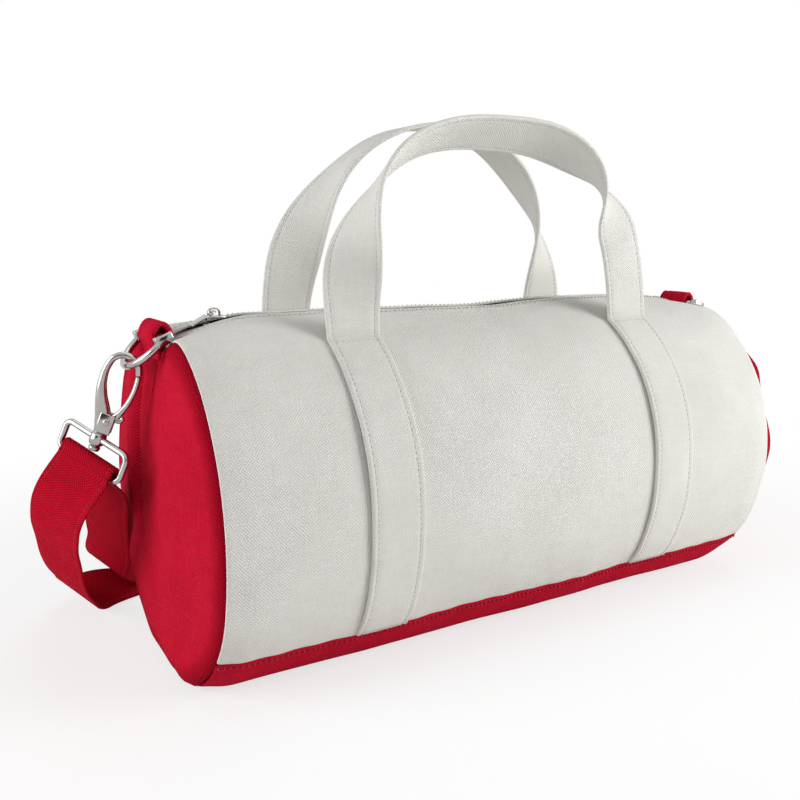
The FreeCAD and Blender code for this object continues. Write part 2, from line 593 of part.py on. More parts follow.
def hook(side):
    """The cast hook: swivel stem, flat base with a slot for the gate, and the bent bar."""
    wedge = doc.addObject("Part::Wedge", f"{side}_hook_base")
    wedge.Placement = Placement(Vector(), UPRIGHT)
    bind(wedge, Ymin="0", Ymax="sizes.base_height")
    bind(wedge, Xmin="-sizes.base_foot / 2", Xmax="sizes.base_foot / 2")
    bind(wedge, X2min="-sizes.base_head / 2", X2max="sizes.base_head / 2")
    bind(wedge, Zmin="-sizes.base_thickness / 2", Zmax="sizes.base_thickness / 2")
    bind(wedge, Z2min="-sizes.base_thickness / 2", Z2max="sizes.base_thickness / 2")
    place(wedge, "sizes.base_shift", "0", BASE_LOW)
    elbow = ("-sizes.eye_radius", EYE_LOW)
    heel = ("-sizes.base_head / 2 + sizes.eye_wire / 2 + sizes.base_shift", f"{BASE_HIGH} - sizes.eye_wire")
    nose_turn = UPRIGHT.multiply(Rotation(UP, size("nose_angle")))
    stem_foot = ("0", "0", HEAD_LOW)
    pieces = [
        wedge,
        rod(f"{side}_hook_head", "sizes.stem_head", "sizes.head_length", stem_foot, UP),
        rod(f"{side}_hook_stem", "sizes.stem_diameter", f"{BASE_LOW} + 1 - {HEAD_LOW}", stem_foot, UP),
        bend(f"{side}_hook_top", "sizes.eye_radius", "sizes.eye_wire", "180 - sizes.nose_angle",
             ("0", "0", EYE_CENTRE), nose_turn),
        rod(f"{side}_hook_side", "sizes.eye_wire", "sizes.eye_straight", (elbow[0], "0", EYE_LOW), UP),
        ball(f"{side}_hook_elbow", "sizes.eye_wire", (elbow[0], "0", EYE_LOW)),
        leaning_rod(f"{side}_hook_heel", "sizes.eye_wire", heel, elbow),
    ]
    slot = box(f"{side}_hook_slot", (SPRING_LEFT, "sizes.base_head"),
               ("-sizes.gate_slot / 2", "sizes.gate_slot / 2"),
               (SLOT_LOW, f"{BASE_HIGH} + sizes.gate_clearance"))
    bore = rod(f"{side}_hook_bore", "sizes.rivet_diameter", "sizes.base_thickness",
               ("sizes.rivet_offset", "-sizes.base_thickness / 2", RIVET_Z), DEPTH)
    slotted = cut(f"{side}_hook_slotted", join(f"{side}_hook_cast", pieces), slot)
    return cut(f"{side}_hook_drilled", slotted, bore)


def gate(side):
    """The trigger: a knuckle on the rivet and a bent bar that ends under the hook's nose."""
    knee = ("sizes.eye_radius", f"{RIVET_Z} + sizes.gate_bend")
    nose = f"({EYE_CENTRE} + sizes.eye_radius * sin(sizes.nose_angle))"
    tip = ("sizes.eye_radius", f"{nose} - sizes.gate_clearance - sizes.eye_wire / 2 - sizes.gate_bar / 2")
    knuckle_low = "-sizes.gate_thickness / 2"
    pivot = ("sizes.rivet_offset", RIVET_Z)
    pieces = [
        rod(f"{side}_gate_knuckle", "sizes.gate_knuckle", "sizes.gate_thickness",
            (pivot[0], knuckle_low, pivot[1]), DEPTH),
        leaning_rod(f"{side}_gate_arm", "sizes.gate_arm", pivot, knee),
        ball(f"{side}_gate_knee", "sizes.gate_bar", (knee[0], "0", knee[1])),
        leaning_rod(f"{side}_gate_bar", "sizes.gate_bar", knee, tip),
        ball(f"{side}_gate_tip", "sizes.gate_bar", (tip[0], "0", tip[1])),
    ]
    bore = rod(f"{side}_gate_bore", "sizes.rivet_diameter + 2 * sizes.rivet_fit", "sizes.gate_thickness + 2",
               (pivot[0], f"{knuckle_low} - 1", pivot[1]), DEPTH)
    return cut(f"{side}_gate_drilled", join(f"{side}_gate_lever", pieces), bore)


def rivet(side):
    """The gate's pivot, headed on both cheeks of the base."""
    low = "(-sizes.base_thickness / 2 - sizes.rivet_head_height)"
    spot = ("sizes.rivet_offset", low, RIVET_Z)
    far = ("sizes.rivet_offset", "sizes.base_thickness / 2", RIVET_Z)
    shank = rod(f"{side}_rivet_shank", "sizes.rivet_diameter",
                "sizes.base_thickness + 2 * sizes.rivet_head_height", spot, DEPTH)
    heads = [rod(f"{side}_rivet_head_{end}", "sizes.rivet_head", "sizes.rivet_head_height", place_at, DEPTH)
             for end, place_at in (("near", spot), ("far", far))]
    return join(f"{side}_rivet_pin", [shank] + heads)


def spring(side):
    """The leaf spring on the closed side of the slot, rolled at its upper end."""
    edge = "-sizes.spring_width / 2"
    high = f"({RIVET_Z} + sizes.spring_length / 2)"
    leaf = box(f"{side}_spring_leaf", (SPRING_LEFT, f"{SPRING_LEFT} + sizes.spring_thickness"),
               (edge, "sizes.spring_width / 2"), (f"{RIVET_Z} - sizes.spring_length / 2", high))
    roll = rod(f"{side}_spring_roll", "2 * sizes.spring_thickness", "sizes.spring_width",
               (f"{SPRING_LEFT} + sizes.spring_thickness", edge, high), DEPTH)
    return join(f"{side}_spring_strip", [leaf, roll])


def in_frame(thing, frame):
    """Set a piece drawn at the bail's lower bar into the hook's frame."""
    thing.Placement = frame
    return thing


for side, sign in (("left", -1), ("right", 1)):
    bail_frame = hook_frame(sign, size("bail_turn"))
    turned_frame = hook_frame(sign, size("bail_turn") + size("hook_turn"))
    keep(in_frame(bail(side), bail_frame), f"{side}_bail")
    for make in (hook, gate, rivet, spring):
        keep(in_frame(make(side), turned_frame), f"{side}_{make.__name__}")
doc.recompute()

# Shoulder strap: one length of webbing, from the glide round the left bail, back and on to the right bail
FLOOR_ACROSS = Vector(0, -1, 0)
RUN_SECTIONS = 30
FOLD_SECTIONS = 10
FLOOR_STEP = 20
OUTER_HANG = ((0.15, 0.83), (0.3, 1.0), (0.5, 0.88), (0.7, 0.7), (0.87, 0.38))
INNER_HANG = ((0.25, 0.12), (0.5, 0.2), (0.75, 0.16))
FLOOR_BOW = ((0.1, 0.55), (0.45, 0.16), (0.8, 0.0), (1.0, 0.0))
CLOSE_UP = 16

webbing = size("strap_thickness")
low = size("strap_lift") + webbing / 2
second = low + webbing + size("strap_layer_gap")
lane = half_width + size("strap_lane")
glide_x = size("glide_setback") - half_length
glide_low = size("strap_lift") + webbing + size("glide_clearance")
wrap_radius = (size("glide_thickness") + webbing) / 2 + size("glide_clearance")
wrap_top = low + 2 * wrap_radius
fold_radius = (size("bail_wire") + webbing) / 2 + size("ring_clearance")


def on_floor(x, height):
    """A station of the strap lying flat in its lane."""
    return Vector(x, lane, height), FLOOR_ACROSS


def floor_run(start, end, height):
    """Stations of a straight flat run."""
    count = max(int(abs(end - start) / FLOOR_STEP), 2)
    return [on_floor(start + (end - start) * i / count, height) for i in range(count + 1)]


def bail_axes(sign):
    """Middle of the bail's lower bar, and its across, inward and up directions."""
    frame = hook_frame(sign, size("bail_turn"))
    across, inward, up = (frame.Rotation.multVec(axis) for axis in (ALONG, DEPTH, UP))
    return frame.Base, across * -sign, inward, up


def run_down(sign, layer, hang, landing, level):
    """Stations from the bail's lower bar down to the lane; layer -1 is outside, 1 inside."""
    bar, across, inward, up = bail_axes(sign)
    chord = landing - bar
    line = Vector(chord).normalize()
    outward = (line * inward.dot(line) - inward).normalize()
    start = bar + inward * (layer * fold_radius)
    points = [start, start - up * webbing]
    points += [bar + chord * share + outward * (out * size("strap_bulge")) for share, out in hang]
    points.append(landing)
    for share, short in FLOOR_BOW[max(layer, 0):]:
        floor_x = half_length - share * size("settle")
        points.append(Vector(sign * floor_x, lane - short * size("landing_in"), level))
    curve = Part.BSplineCurve()
    curve.interpolate(Points=points)
    spots = curve.toShape().discretize(Number=RUN_SECTIONS)
    for spot in spots:
        spot.z = max(spot.z, level)
    stations = []
    for spot, along in zip(spots, path_directions(spots)):
        flatness = smooth(1 - (spot.z - level) / size("flattening"))
        level_across = Vector(-sign * along.y, sign * along.x, 0).normalize()
        stations.append((spot, across * (1 - flatness) + level_across * flatness))
    return stations


def landing_point(sign, out, short, height):
    """Where a layer of the strap comes down, seen from the end seam and the lane."""
    return Vector(sign * (half_length + out), lane - short, height)


def outer_run(sign):
    """The layer that hangs on the outside of a bail."""
    landing = landing_point(sign, size("landing_out"), size("landing_in"), size("landing_height"))
    return run_down(sign, -1, OUTER_HANG, landing, low)


def inner_run(sign):
    """The layer folded back from the left bail, lying on the outer layer."""
    landing = landing_point(sign, 0, size("landing_in") / 2, size("return_height"))
    return run_down(sign, 1, INNER_HANG, landing, second)


def bail_fold(sign):
    """Stations over the bail's lower bar, from the outside to the inside."""
    bar, across, inward, up = bail_axes(sign)
    stations = []
    for i in range(1, FOLD_SECTIONS):
        angle = math.pi * i / FOLD_SECTIONS
        spot = bar - inward * (fold_radius * math.cos(angle)) + up * (fold_radius * math.sin(angle))
        stations.append((spot, across))
    return stations


def sewn_tail(sign):
    """The end folded over the bail and sewn down on the inside of the outer layer."""
    bar, across, inward, up = bail_axes(sign)
    outer = outer_run(sign)
    apart, together = 2 * fold_radius, webbing + size("strap_layer_gap")
    directions = path_directions([spot for spot, across in outer])
    stations = []
    distance = 0.0
    for i, (spot, across) in enumerate(outer):
        if i:
            distance += spot.distanceToPoint(outer[i - 1][0])
        if distance > size("strap_tail"):
            break
        square = (inward - directions[i] * inward.dot(directions[i])).normalize()
        offset = apart + (together - apart) * smooth(distance / CLOSE_UP)
        stations.append((spot + square * offset, across))
    return stations


def glide_wrap():
    """The strap's first end, sewn over the glide's middle bar and led under it."""
    turn_x = glide_x + size("glide_bar") / 2 - size("glide_clearance")
    stations = [on_floor(glide_x - size("glide_tail"), wrap_top)]
    for i in range(FOLD_SECTIONS + 1):
        angle = math.pi / 2 - math.pi * i / FOLD_SECTIONS
        turn = Vector(math.cos(angle), 0, 1 + math.sin(angle)) * wrap_radius
        stations.append(on_floor(turn_x + turn.x, low + turn.z))
    return stations


def glide_pass():
    """The running layer over the glide's first two bars and down under its third."""
    reach = size("glide_length") / 2
    over_bar = glide_low + size("glide_thickness") + size("glide_clearance") + webbing / 2
    over_wrap = wrap_top + webbing + size("strap_layer_gap")
    edge = reach - size("glide_bar")
    knee = size("glide_bar") / 2 + 2 * webbing
    marks = [(-reach - 3 * wrap_top, second), (-reach - webbing, over_bar), (-edge, over_bar),
             (-size("glide_tail") - webbing, over_wrap), (knee, over_wrap), (edge - webbing / 2, low)]
    stations = []
    for (x0, z0), (x1, z1) in zip(marks, marks[1:]):
        for i in range(FOLD_SECTIONS):
            share = i / FOLD_SECTIONS
            stations.append(on_floor(glide_x + x0 + (x1 - x0) * share, z0 + (z1 - z0) * smooth(share)))
    return stations


def strap_route():
    """All stations of the strap in order."""
    wrap = glide_wrap()
    passing = glide_pass()
    left_out, left_in, right_out = outer_run(-1), inner_run(-1), outer_run(1)
    route = wrap
    route += floor_run(wrap[-1][0].x, left_out[-1][0].x, low)[1:-1]
    route += left_out[::-1] + bail_fold(-1) + left_in
    route += floor_run(left_in[-1][0].x, passing[0][0].x, second)[1:-1]
    route += passing
    route += floor_run(glide_x + size("glide_length") / 2, right_out[-1][0].x, low)[:-1]
    return route + right_out[::-1] + bail_fold(1) + sewn_tail(1)


route = strap_route()
spots = [spot for spot, across in route]
strap_length = sum(a.distanceToPoint(b) for a, b in zip(spots, spots[1:]))
stations = [(spot, across, along) for (spot, across), along in zip(route, path_directions(spots))]
formed("shoulder_strap", strip_solid(stations, size("strap_width"), webbing))

# Glide: three bars in one flat frame, lying on the strap behind the bag
LANE = "(sizes.barrel_radius - sizes.barrel_squeeze + sizes.strap_lane)"
GLIDE_X = f"(sizes.glide_setback - {HALF})"
GLIDE_LOW = "(sizes.strap_lift + sizes.strap_thickness + sizes.glide_clearance)"
GLIDE_HEIGHT = (GLIDE_LOW, f"{GLIDE_LOW} + sizes.glide_thickness")
GLIDE_END = "sizes.glide_length / 2"
SLOT_HALF = "((sizes.strap_width + sizes.glide_slack) / 2)"
SLOT_WIDE = (f"{LANE} - {SLOT_HALF}", f"{LANE} + {SLOT_HALF}")
glide_plate = box("glide_plate", (f"{GLIDE_X} - {GLIDE_END}", f"{GLIDE_X} + {GLIDE_END}"),
                  (f"{SLOT_WIDE[0]} - sizes.glide_bar", f"{SLOT_WIDE[1]} + sizes.glide_bar"), GLIDE_HEIGHT)
SLOTS = (("near", (f"{GLIDE_X} - {GLIDE_END} + sizes.glide_bar", f"{GLIDE_X} - sizes.glide_bar / 2")),
         ("far", (f"{GLIDE_X} + sizes.glide_bar / 2", f"{GLIDE_X} + {GLIDE_END} - sizes.glide_bar")))
glide = glide_plate
for end, span in SLOTS:
    glide = cut(f"glide_{end}_slotted", glide, box(f"glide_{end}_slot", span, SLOT_WIDE, GLIDE_HEIGHT))
keep(glide, "strap_glide")
doc.recompute()

# Every object has to be sound before anything is written
for thing in doc.Objects:
    if "Invalid" in thing.State or "Error" in thing.State:
        raise RuntimeError(f"{thing.Label}: {thing.getStatusString()}")
for part in sub_parts:
    if part.Shape.isNull() or not part.Shape.isValid() or not part.Shape.Solids:
        raise RuntimeError(f"{part.Label}: no valid solid")

os.makedirs("parts", exist_ok=True)
for part in sub_parts:
    part.Shape.exportStep(os.path.join("parts", part.Label + ".step"))
print(f"{len(sub_parts)} sub-parts, strap {strap_length:.0f} mm long")
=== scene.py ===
# %% [markdown]
# # A canvas barrel bag
# The model of the bag arrives as plain solids, each in its right place and tied to the body that it
# moves with. This lesson dresses them: cloth that sags, sewn strips, thread, webbing and bright metal.
# Every length is in metres. The bag lies along X, its front looks towards -Y and the floor is at Z = 0.

# %% Load the model and keep its box
import json
import math

import bmesh
import bpy
from mathutils import Matrix, Vector, noise


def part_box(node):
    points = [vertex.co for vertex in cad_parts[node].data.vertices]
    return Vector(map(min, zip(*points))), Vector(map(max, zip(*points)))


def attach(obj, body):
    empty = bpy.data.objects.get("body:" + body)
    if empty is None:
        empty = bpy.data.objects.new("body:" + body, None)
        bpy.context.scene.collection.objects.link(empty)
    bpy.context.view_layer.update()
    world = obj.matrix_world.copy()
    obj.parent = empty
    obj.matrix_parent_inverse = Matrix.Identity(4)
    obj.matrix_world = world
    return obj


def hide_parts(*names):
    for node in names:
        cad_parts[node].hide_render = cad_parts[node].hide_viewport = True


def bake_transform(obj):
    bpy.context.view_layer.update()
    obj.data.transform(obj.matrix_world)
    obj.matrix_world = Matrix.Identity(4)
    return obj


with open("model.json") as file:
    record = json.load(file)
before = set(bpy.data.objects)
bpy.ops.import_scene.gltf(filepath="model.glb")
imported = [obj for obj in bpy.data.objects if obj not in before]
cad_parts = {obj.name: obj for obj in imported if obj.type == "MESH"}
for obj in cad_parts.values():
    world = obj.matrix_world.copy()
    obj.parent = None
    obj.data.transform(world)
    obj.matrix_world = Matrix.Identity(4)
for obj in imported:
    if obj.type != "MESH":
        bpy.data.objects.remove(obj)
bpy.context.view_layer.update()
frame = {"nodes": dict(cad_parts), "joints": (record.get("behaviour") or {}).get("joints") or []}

joints = {joint["name"]: joint for joint in frame["joints"]}

# %% [markdown]
# ## Sizes of the barrel
# The barrel's section is an upright oval that has settled flat on the floor. Its sizes are read from
# the solids where they show them, so the cloth can't drift away from the model. The bag has two faces
# and two ends that are nearly alike, so loops over them carry a sign: the front is 1, the left end -1.

# %% Measure the barrel
MM = 0.001
panel_low, panel_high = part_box("front_panel")
end_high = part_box("left_end_panel")[1]
HALF_LENGTH = panel_high.x
HALF_DEPTH = -panel_low.y
RADIUS = 107 * MM
MIDDLE = end_high.z - RADIUS
CANVAS = 1.6 * MM
ZIP_ANGLE = math.asin(-panel_high.y / HALF_DEPTH)
SEAM_ANGLE = math.acos((panel_low.z - MIDDLE) / RADIUS)
CLOTH_RADIUS = (HALF_DEPTH + RADIUS) / 2
FACES = (("front", 1), ("back", -1))
ENDS = (("left", -1), ("right", 1))
print(f"barrel {2 * HALF_LENGTH:.3f} long and {2 * HALF_DEPTH:.3f} deep")
print(f"base seams {math.degrees(SEAM_ANGLE):.0f} degrees from the zip")

# %% [markdown]
# ## The settled skin
# All the cloth on the barrel follows one function, so that panels, strips and stitches never cut into
# each other. It takes a place along the barrel and an angle from the zip, positive towards the front.
# The oval could be left perfect, but real canvas is slack: it is drawn in at the end seams, swells
# between them, puckers beside the stitching, dips between the handles and droops at the zip's ends.
# A soft floor test bends the underside flat without a hard corner.

# %% Slack canvas
FLOOR_ROUND = 5 * MM
SETTLE = 0.4 * MM
DROOP = 16 * MM
DROOP_RUN = 55 * MM
LOW_CORNER = 2.62
STRIP_X = 104 * MM
STRIP_WIDTH = 33 * MM


def step(value):
    """An even rise from 0 to 1."""
    value = min(max(value, 0.0), 1.0)
    return value * value * (3 - 2 * value)


def hump(distance, width):
    """A soft bump: 1 in the middle, falling away over a width."""
    return math.exp(-((distance / width) ** 2))


def slack(x, angle):
    """How far the canvas stands out of the perfect oval."""
    angle = (angle + math.pi) % (2 * math.pi) - math.pi
    inset = HALF_LENGTH - abs(x)
    place = Vector((x, HALF_DEPTH * math.sin(angle), RADIUS * math.cos(angle)))
    swell = 1.4 * MM * noise.noise(place / (75 * MM)) + 0.5 * MM * noise.noise(place / (27 * MM))
    drawn_in = -2 * MM * hump(inset, 8 * MM)
    beside_seam = abs(abs(angle) - SEAM_ANGLE) * CLOTH_RADIUS
    pucker = 0.3 * MM * math.sin(x / (3.4 * MM)) * math.exp(-beside_seam / (8 * MM))
    hem = 0.9 * MM * hump((abs(angle) - ZIP_ANGLE) * CLOTH_RADIUS, 7 * MM)
    allowance = 0.5 * MM * step((7 * MM - inset) / (1.5 * MM))
    dip = -2.4 * MM * hump(angle, 0.42) * (1 - step(abs(x) / (105 * MM)))
    droop = -DROOP * hump(angle - 0.03, 0.22) * max(1 - inset / DROOP_RUN, 0) ** 2.2
    lifted = -3 * MM * hump(abs(angle) - LOW_CORNER, 0.35) * hump(inset, 9 * MM)
    return swell + drawn_in + pucker + hem + allowance + dip + droop + lifted


def skin(x, angle, lift=0.0):
    """A point on the settled barrel, lifted off it along its normal."""
    normal = Vector((0, -math.sin(angle) / HALF_DEPTH, math.cos(angle) / RADIUS)).normalized()
    point = Vector((x, -HALF_DEPTH * math.sin(angle), MIDDLE + RADIUS * math.cos(angle)))
    point += normal * slack(x, angle)
    reach = math.hypot(point.z, FLOOR_ROUND)
    free = 0.5 * (1 + point.z / reach)
    point.z = max(0.5 * (point.z + reach) - SETTLE, 0.0)
    normal = (normal * free - Vector((0, 0, 1)) * (1 - free)).normalized()
    return point + normal * lift


print("top of the skin at the middle:", [round(v, 4) for v in skin(0, 0)])

# %% [markdown]
# ## Finishes in Python
# Node trees are hard to read when every link is written out. A small class wraps one socket, so that
# sums of sockets can be written as plain expressions, and one method adds any other node. A node with
# several outputs hands out the others through the same wrapper.

# %% A socket that does arithmetic
class Shade:
    """A socket in a material's node tree that can be used in expressions."""

    def __init__(self, tree, socket=None):
        self.tree = tree
        self.socket = socket

    def node(self, kind, settings=None, sockets=None, output=0):
        """Add a node: its settings first, then the values or links of its sockets."""
        made = self.tree.nodes.new(kind)
        for name, value in (settings or {}).items():
            setattr(made, name, value)
        for name, value in (sockets or {}).items():
            if isinstance(value, Shade):
                self.tree.links.new(value.socket, made.inputs[name])
            else:
                made.inputs[name].default_value = value
        return Shade(self.tree, made.outputs[output])

    def other(self, output):
        """Another output of this socket's node."""
        return Shade(self.tree, self.socket.node.outputs[output])

    def math(self, operation, *values):
        """A Math node on some values."""
        return self.node("ShaderNodeMath", {"operation": operation}, dict(enumerate(values)))

    def sine(self):
        """The sine of this value."""
        return self.math("SINE", self)

    def __add__(self, other):
        return self.math("ADD", self, other)

    def __sub__(self, other):
        return self.math("SUBTRACT", self, other)

    def __rsub__(self, other):
        return self.math("SUBTRACT", other, self)

    def __mul__(self, other):
        return self.math("MULTIPLY", self, other)

    __radd__ = __add__
    __rmul__ = __mul__


def new_finish(name):
    """A material with its node tree as a wrapper, and its surface shader."""
    finish = bpy.data.materials.new(name)
    finish.use_nodes = True
    tree = finish.node_tree
    return finish, Shade(tree), tree.nodes["Principled BSDF"]


def feed(shade, shader, **sockets):
    """Link sockets to the shader's inputs; an underscore in a name stands for a space."""
    for name, value in sockets.items():
        shade.tree.links.new(value.socket, shader.inputs[name.replace("_", " ")])


def mix(shade, factor, first, second):
    """A colour between two colours."""
    settings = {"data_type": "RGBA"}
    return shade.node("ShaderNodeMix", settings, {0: factor, 6: (*first, 1), 7: (*second, 1)}, output=2)


print("reflected operators of a socket:", [name for name in vars(Shade) if name.startswith("__r")])

# %% [markdown]
# ## Woven cloth
# Canvas is a weave: threads along and across pass over and under each other. A photograph of cloth
# would do, but a pattern made from two crossed sine waves stays sharp at any distance. It reads the
# piece's own cloth map, whose units are metres, so the threads have one size on every piece. Noise
# stretched along each thread gives the thick and thin places of spun cotton, and a slow noise the
# faint clouds of handled cloth. An attribute named shade darkens the cloth next to a seam: painted shade.

# %% Woven finishes
SLUBS_PER_METRE = 60
CLOUDS_PER_METRE = 22.0
DULL = 0.03


def woven(name, light, dark, pitch, fleck, relief, sheen=0.0):
    """Plain-woven cloth in two shades of one colour."""
    finish, shade, shader = new_finish(name)
    cloth = shade.node("ShaderNodeUVMap", {"uv_map": "cloth"})
    flat = {"noise_dimensions": "2D"}
    wobble = shade.node("ShaderNodeTexNoise", flat,
                        {"Vector": cloth, "Scale": 0.09 / pitch, "Detail": 2.0}, output=1)
    moved = shade.node("ShaderNodeVectorMath", {"operation": "MULTIPLY_ADD"},
                       {0: wobble, 1: (0.9 * pitch,) * 3, 2: cloth})
    along = shade.node("ShaderNodeSeparateXYZ", None, {0: moved})
    across = along.other(1)
    turn = 2 * math.pi / pitch
    threads = (along * turn).sine() * (across * turn).sine() * 0.5 + 0.5
    thick = 0.9 / pitch
    slubs = []
    for scale in ((SLUBS_PER_METRE, thick, 1), (thick, SLUBS_PER_METRE, 1)):
        way = shade.node("ShaderNodeMapping", None, {"Vector": cloth, "Scale": scale})
        slubs.append(shade.node("ShaderNodeTexNoise", flat, {"Vector": way, "Scale": 1.0, "Detail": 1.0}))
    clouds = shade.node("ShaderNodeTexNoise", flat,
                        {"Vector": cloth, "Scale": CLOUDS_PER_METRE, "Detail": 4.0, "Roughness": 0.6})
    yarn = threads * 0.9 + slubs[0] * 0.25 + slubs[1] * 0.25 - 0.2
    # painted shade: the shade attribute darkens the cloth where a piece sets it, next to the end seams
    painted_shade = shade.node("ShaderNodeAttribute", {"attribute_name": "shade"}, output=2)
    tone = yarn * fleck + clouds * 0.4 + (0.3 - 0.5 * fleck) - painted_shade
    bump = shade.node("ShaderNodeBump", None, {"Strength": 0.8, "Distance": relief, "Height": yarn})
    colour = mix(shade, tone, dark, light)
    feed(shade, shader, Base_Color=colour, Roughness=0.94 - threads * 0.1, Normal=bump)
    shader.inputs["Specular IOR Level"].default_value = DULL
    shader.inputs["Sheen Weight"].default_value = sheen
    shader.inputs["Sheen Roughness"].default_value = 0.6
    return finish


CREAM_LIGHT, CREAM_DARK = (0.79, 0.78, 0.745), (0.53, 0.52, 0.48)
RED_LIGHT, RED_DARK = (0.64, 0.011, 0.04), (0.3, 0.002, 0.013)
STRAP_LIGHT, STRAP_DARK = (0.56, 0.007, 0.028), (0.26, 0.001, 0.008)
cream_canvas = woven("cream_canvas", CREAM_LIGHT, CREAM_DARK,
                     pitch=1.7 * MM, fleck=0.6, relief=0.32 * MM, sheen=0.04)
red_canvas = woven("red_canvas", RED_LIGHT, RED_DARK, pitch=1.8 * MM, fleck=1.0, relief=0.5 * MM)
red_webbing = woven("red_webbing", STRAP_LIGHT, STRAP_DARK, pitch=1.9 * MM, fleck=1.0, relief=0.5 * MM)
cream_tape = woven("cream_tape", CREAM_LIGHT, CREAM_DARK, pitch=0.9 * MM, fleck=0.6, relief=0.15 * MM)
print("nodes in the canvas finish:", len(cream_canvas.node_tree.nodes))

# %% [markdown]
# ## Thread and metal
# Sewing thread is so thin that its twist shows only as a fine grain between two shades. The hardware
# is bright nickel: nearly a mirror, with a faint cloudiness where it has been handled. Every solid gets
# the nickel first, because only metal pieces will still show as solids in the end.

# %% Thread and nickel
NICKEL_LIGHT, NICKEL_DARK = (0.49, 0.477, 0.463), (0.31, 0.3, 0.288)


def thread_finish(name, light, dark):
    """Sewing thread with a fine grain."""
    finish, shade, shader = new_finish(name)
    place = shade.node("ShaderNodeTexCoord", None, None, output=3)
    grain = shade.node("ShaderNodeTexNoise", None, {"Vector": place, "Scale": 900.0, "Detail": 2.0})
    feed(shade, shader, Base_Color=mix(shade, grain, dark, light), Roughness=0.75 + grain * 0.2)
    return finish


def nickel_finish():
    """Bright plated metal, a little clouded."""
    finish, shade, shader = new_finish("bright_nickel")
    place = shade.node("ShaderNodeTexCoord", None, None, output=3)
    cloud = shade.node("ShaderNodeTexNoise", None, {"Vector": place, "Scale": 140.0, "Detail": 4.0})
    tone = mix(shade, cloud, NICKEL_DARK, NICKEL_LIGHT)
    feed(shade, shader, Base_Color=tone, Roughness=0.08 + cloud * 0.16)
    shader.inputs["Metallic"].default_value = 1.0
    return finish


cream_thread = thread_finish("cream_thread", (0.68, 0.66, 0.61), (0.45, 0.43, 0.39))
red_thread = thread_finish("red_thread", (0.5, 0.012, 0.036), (0.32, 0.006, 0.02))
nickel = nickel_finish()
for node in frame["nodes"].values():
    node.data.materials.clear()
    node.data.materials.append(nickel)
print("solids in nickel:", len(frame["nodes"]))

# %% [markdown]
# ## From bmesh to a piece
# Each piece is modelled as a bmesh. One helper turns it into an object at the origin, gives it its
# finishes, lets it ride on a body and names the solids that it stands for.

# %% Make a piece
def face_outwards(bm, inside):
    """Turn an open sheet so that its faces look away from a point."""
    bm.normal_update()
    lean = sum(face.normal.dot(face.calc_center_median() - inside) for face in bm.faces)
    if lean < 0:
        bmesh.ops.reverse_faces(bm, faces=bm.faces[:])


def make_piece(name, bm, finishes, body=None, stands_for=()):
    """An object from a bmesh."""
    mesh = bpy.data.meshes.new(name)
    bm.to_mesh(mesh)
    bm.free()
    mesh.polygons.foreach_set("use_smooth", [True] * len(mesh.polygons))
    for finish in finishes:
        mesh.materials.append(finish)
    piece = bpy.data.objects.new(name, mesh)
    bpy.context.scene.collection.objects.link(piece)
    if body:
        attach(piece, body)
    if stands_for:
        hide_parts(*stands_for)
    print(f"{name}: {len(mesh.polygons)} faces")
    return piece


def thicken(piece, thickness, levels):
    """Give a sheet its thickness inwards, and smooth it."""
    wall = piece.modifiers.new("thickness", "SOLIDIFY")
    wall.thickness = thickness
    wall.offset = -1
    if levels:
        soft = piece.modifiers.new("smooth", "SUBSURF")
        soft.levels = levels
        soft.render_levels = levels


def lay_out(bm, along, across):
    """Give every corner its place on the flat cloth, in metres."""
    cloth = bm.loops.layers.uv.new("cloth")
    for face in bm.faces:
        for loop in face.loops:
            loop[cloth].uv = (loop.vert[along], loop.vert[across])


def new_verts(result):
    """The vertices among what an operator made."""
    return [item for item in result["geom"] if isinstance(item, bmesh.types.BMVert)]


def new_edges(result):
    """The edges among what an operator made."""
    return [item for item in result["geom"] if isinstance(item, bmesh.types.BMEdge)]


print("solids to dress:", ", ".join(sorted(frame["nodes"])))

# %% [markdown]
# ## Stitches
# A row of stitches could be a bump in the finish, but stitches catch the light on their own, so each
# one is a small bead with few faces, lying along its seam.

# %% One stitch, and rows of them
STITCH_PITCH = 3.2 * MM
STITCH_LENGTH = 2.4 * MM
THREAD = 0.6 * MM


def stitch_place(spot, along, up):
    """A matrix that stretches a unit ball into one stitch at a spot."""
    along = along.normalized()
    side = up.cross(along).normalized()
    place = Matrix((along * (STITCH_LENGTH / 2), side * (THREAD / 2), along.cross(side) * (THREAD / 2)))
    place = place.transposed().to_4x4()
    place.translation = spot
    return place


def sew(points, normals):
    """Places of stitches at an even pitch along a line of points."""
    places = []
    waiting = STITCH_PITCH / 2
    for first, second, up in zip(points, points[1:], normals):
        span = (second - first).length
        while waiting < span:
            places.append(stitch_place(first.lerp(second, waiting / span), second - first, up))
            waiting += STITCH_PITCH
        waiting -= span
    return places


def add_thread(bm, places, material):
    """One bead of thread, doubled until there are enough, each bead then put in its place."""
    beads = bmesh.new()
    lying = Matrix.Rotation(math.pi / 2, 4, "Y")
    bmesh.ops.create_uvsphere(beads, u_segments=6, v_segments=5, radius=1.0, matrix=lying)
    number = beads.verts.layers.int.new("bead")
    count = 1
    while count < len(places):
        copy = bmesh.ops.duplicate(beads, geom=beads.verts[:] + beads.edges[:] + beads.faces[:])
        for vert in new_verts(copy):
            vert[number] += count
        count *= 2
    spare = [vert for vert in beads.verts if vert[number] >= len(places)]
    bmesh.ops.delete(beads, geom=spare, context="VERTS")
    for vert in beads.verts:
        vert.co = places[vert[number]] @ vert.co
    for face in beads.faces:
        face.material_index = material
    mesh = bpy.data.meshes.new("thread")
    beads.to_mesh(mesh)
    beads.free()
    bm.from_mesh(mesh)
    bpy.data.meshes.remove(mesh)


def skin_normal(x, angle):
    """The outward direction of the skin."""
    return (skin(x, angle, MM) - skin(x, angle)).normalized()


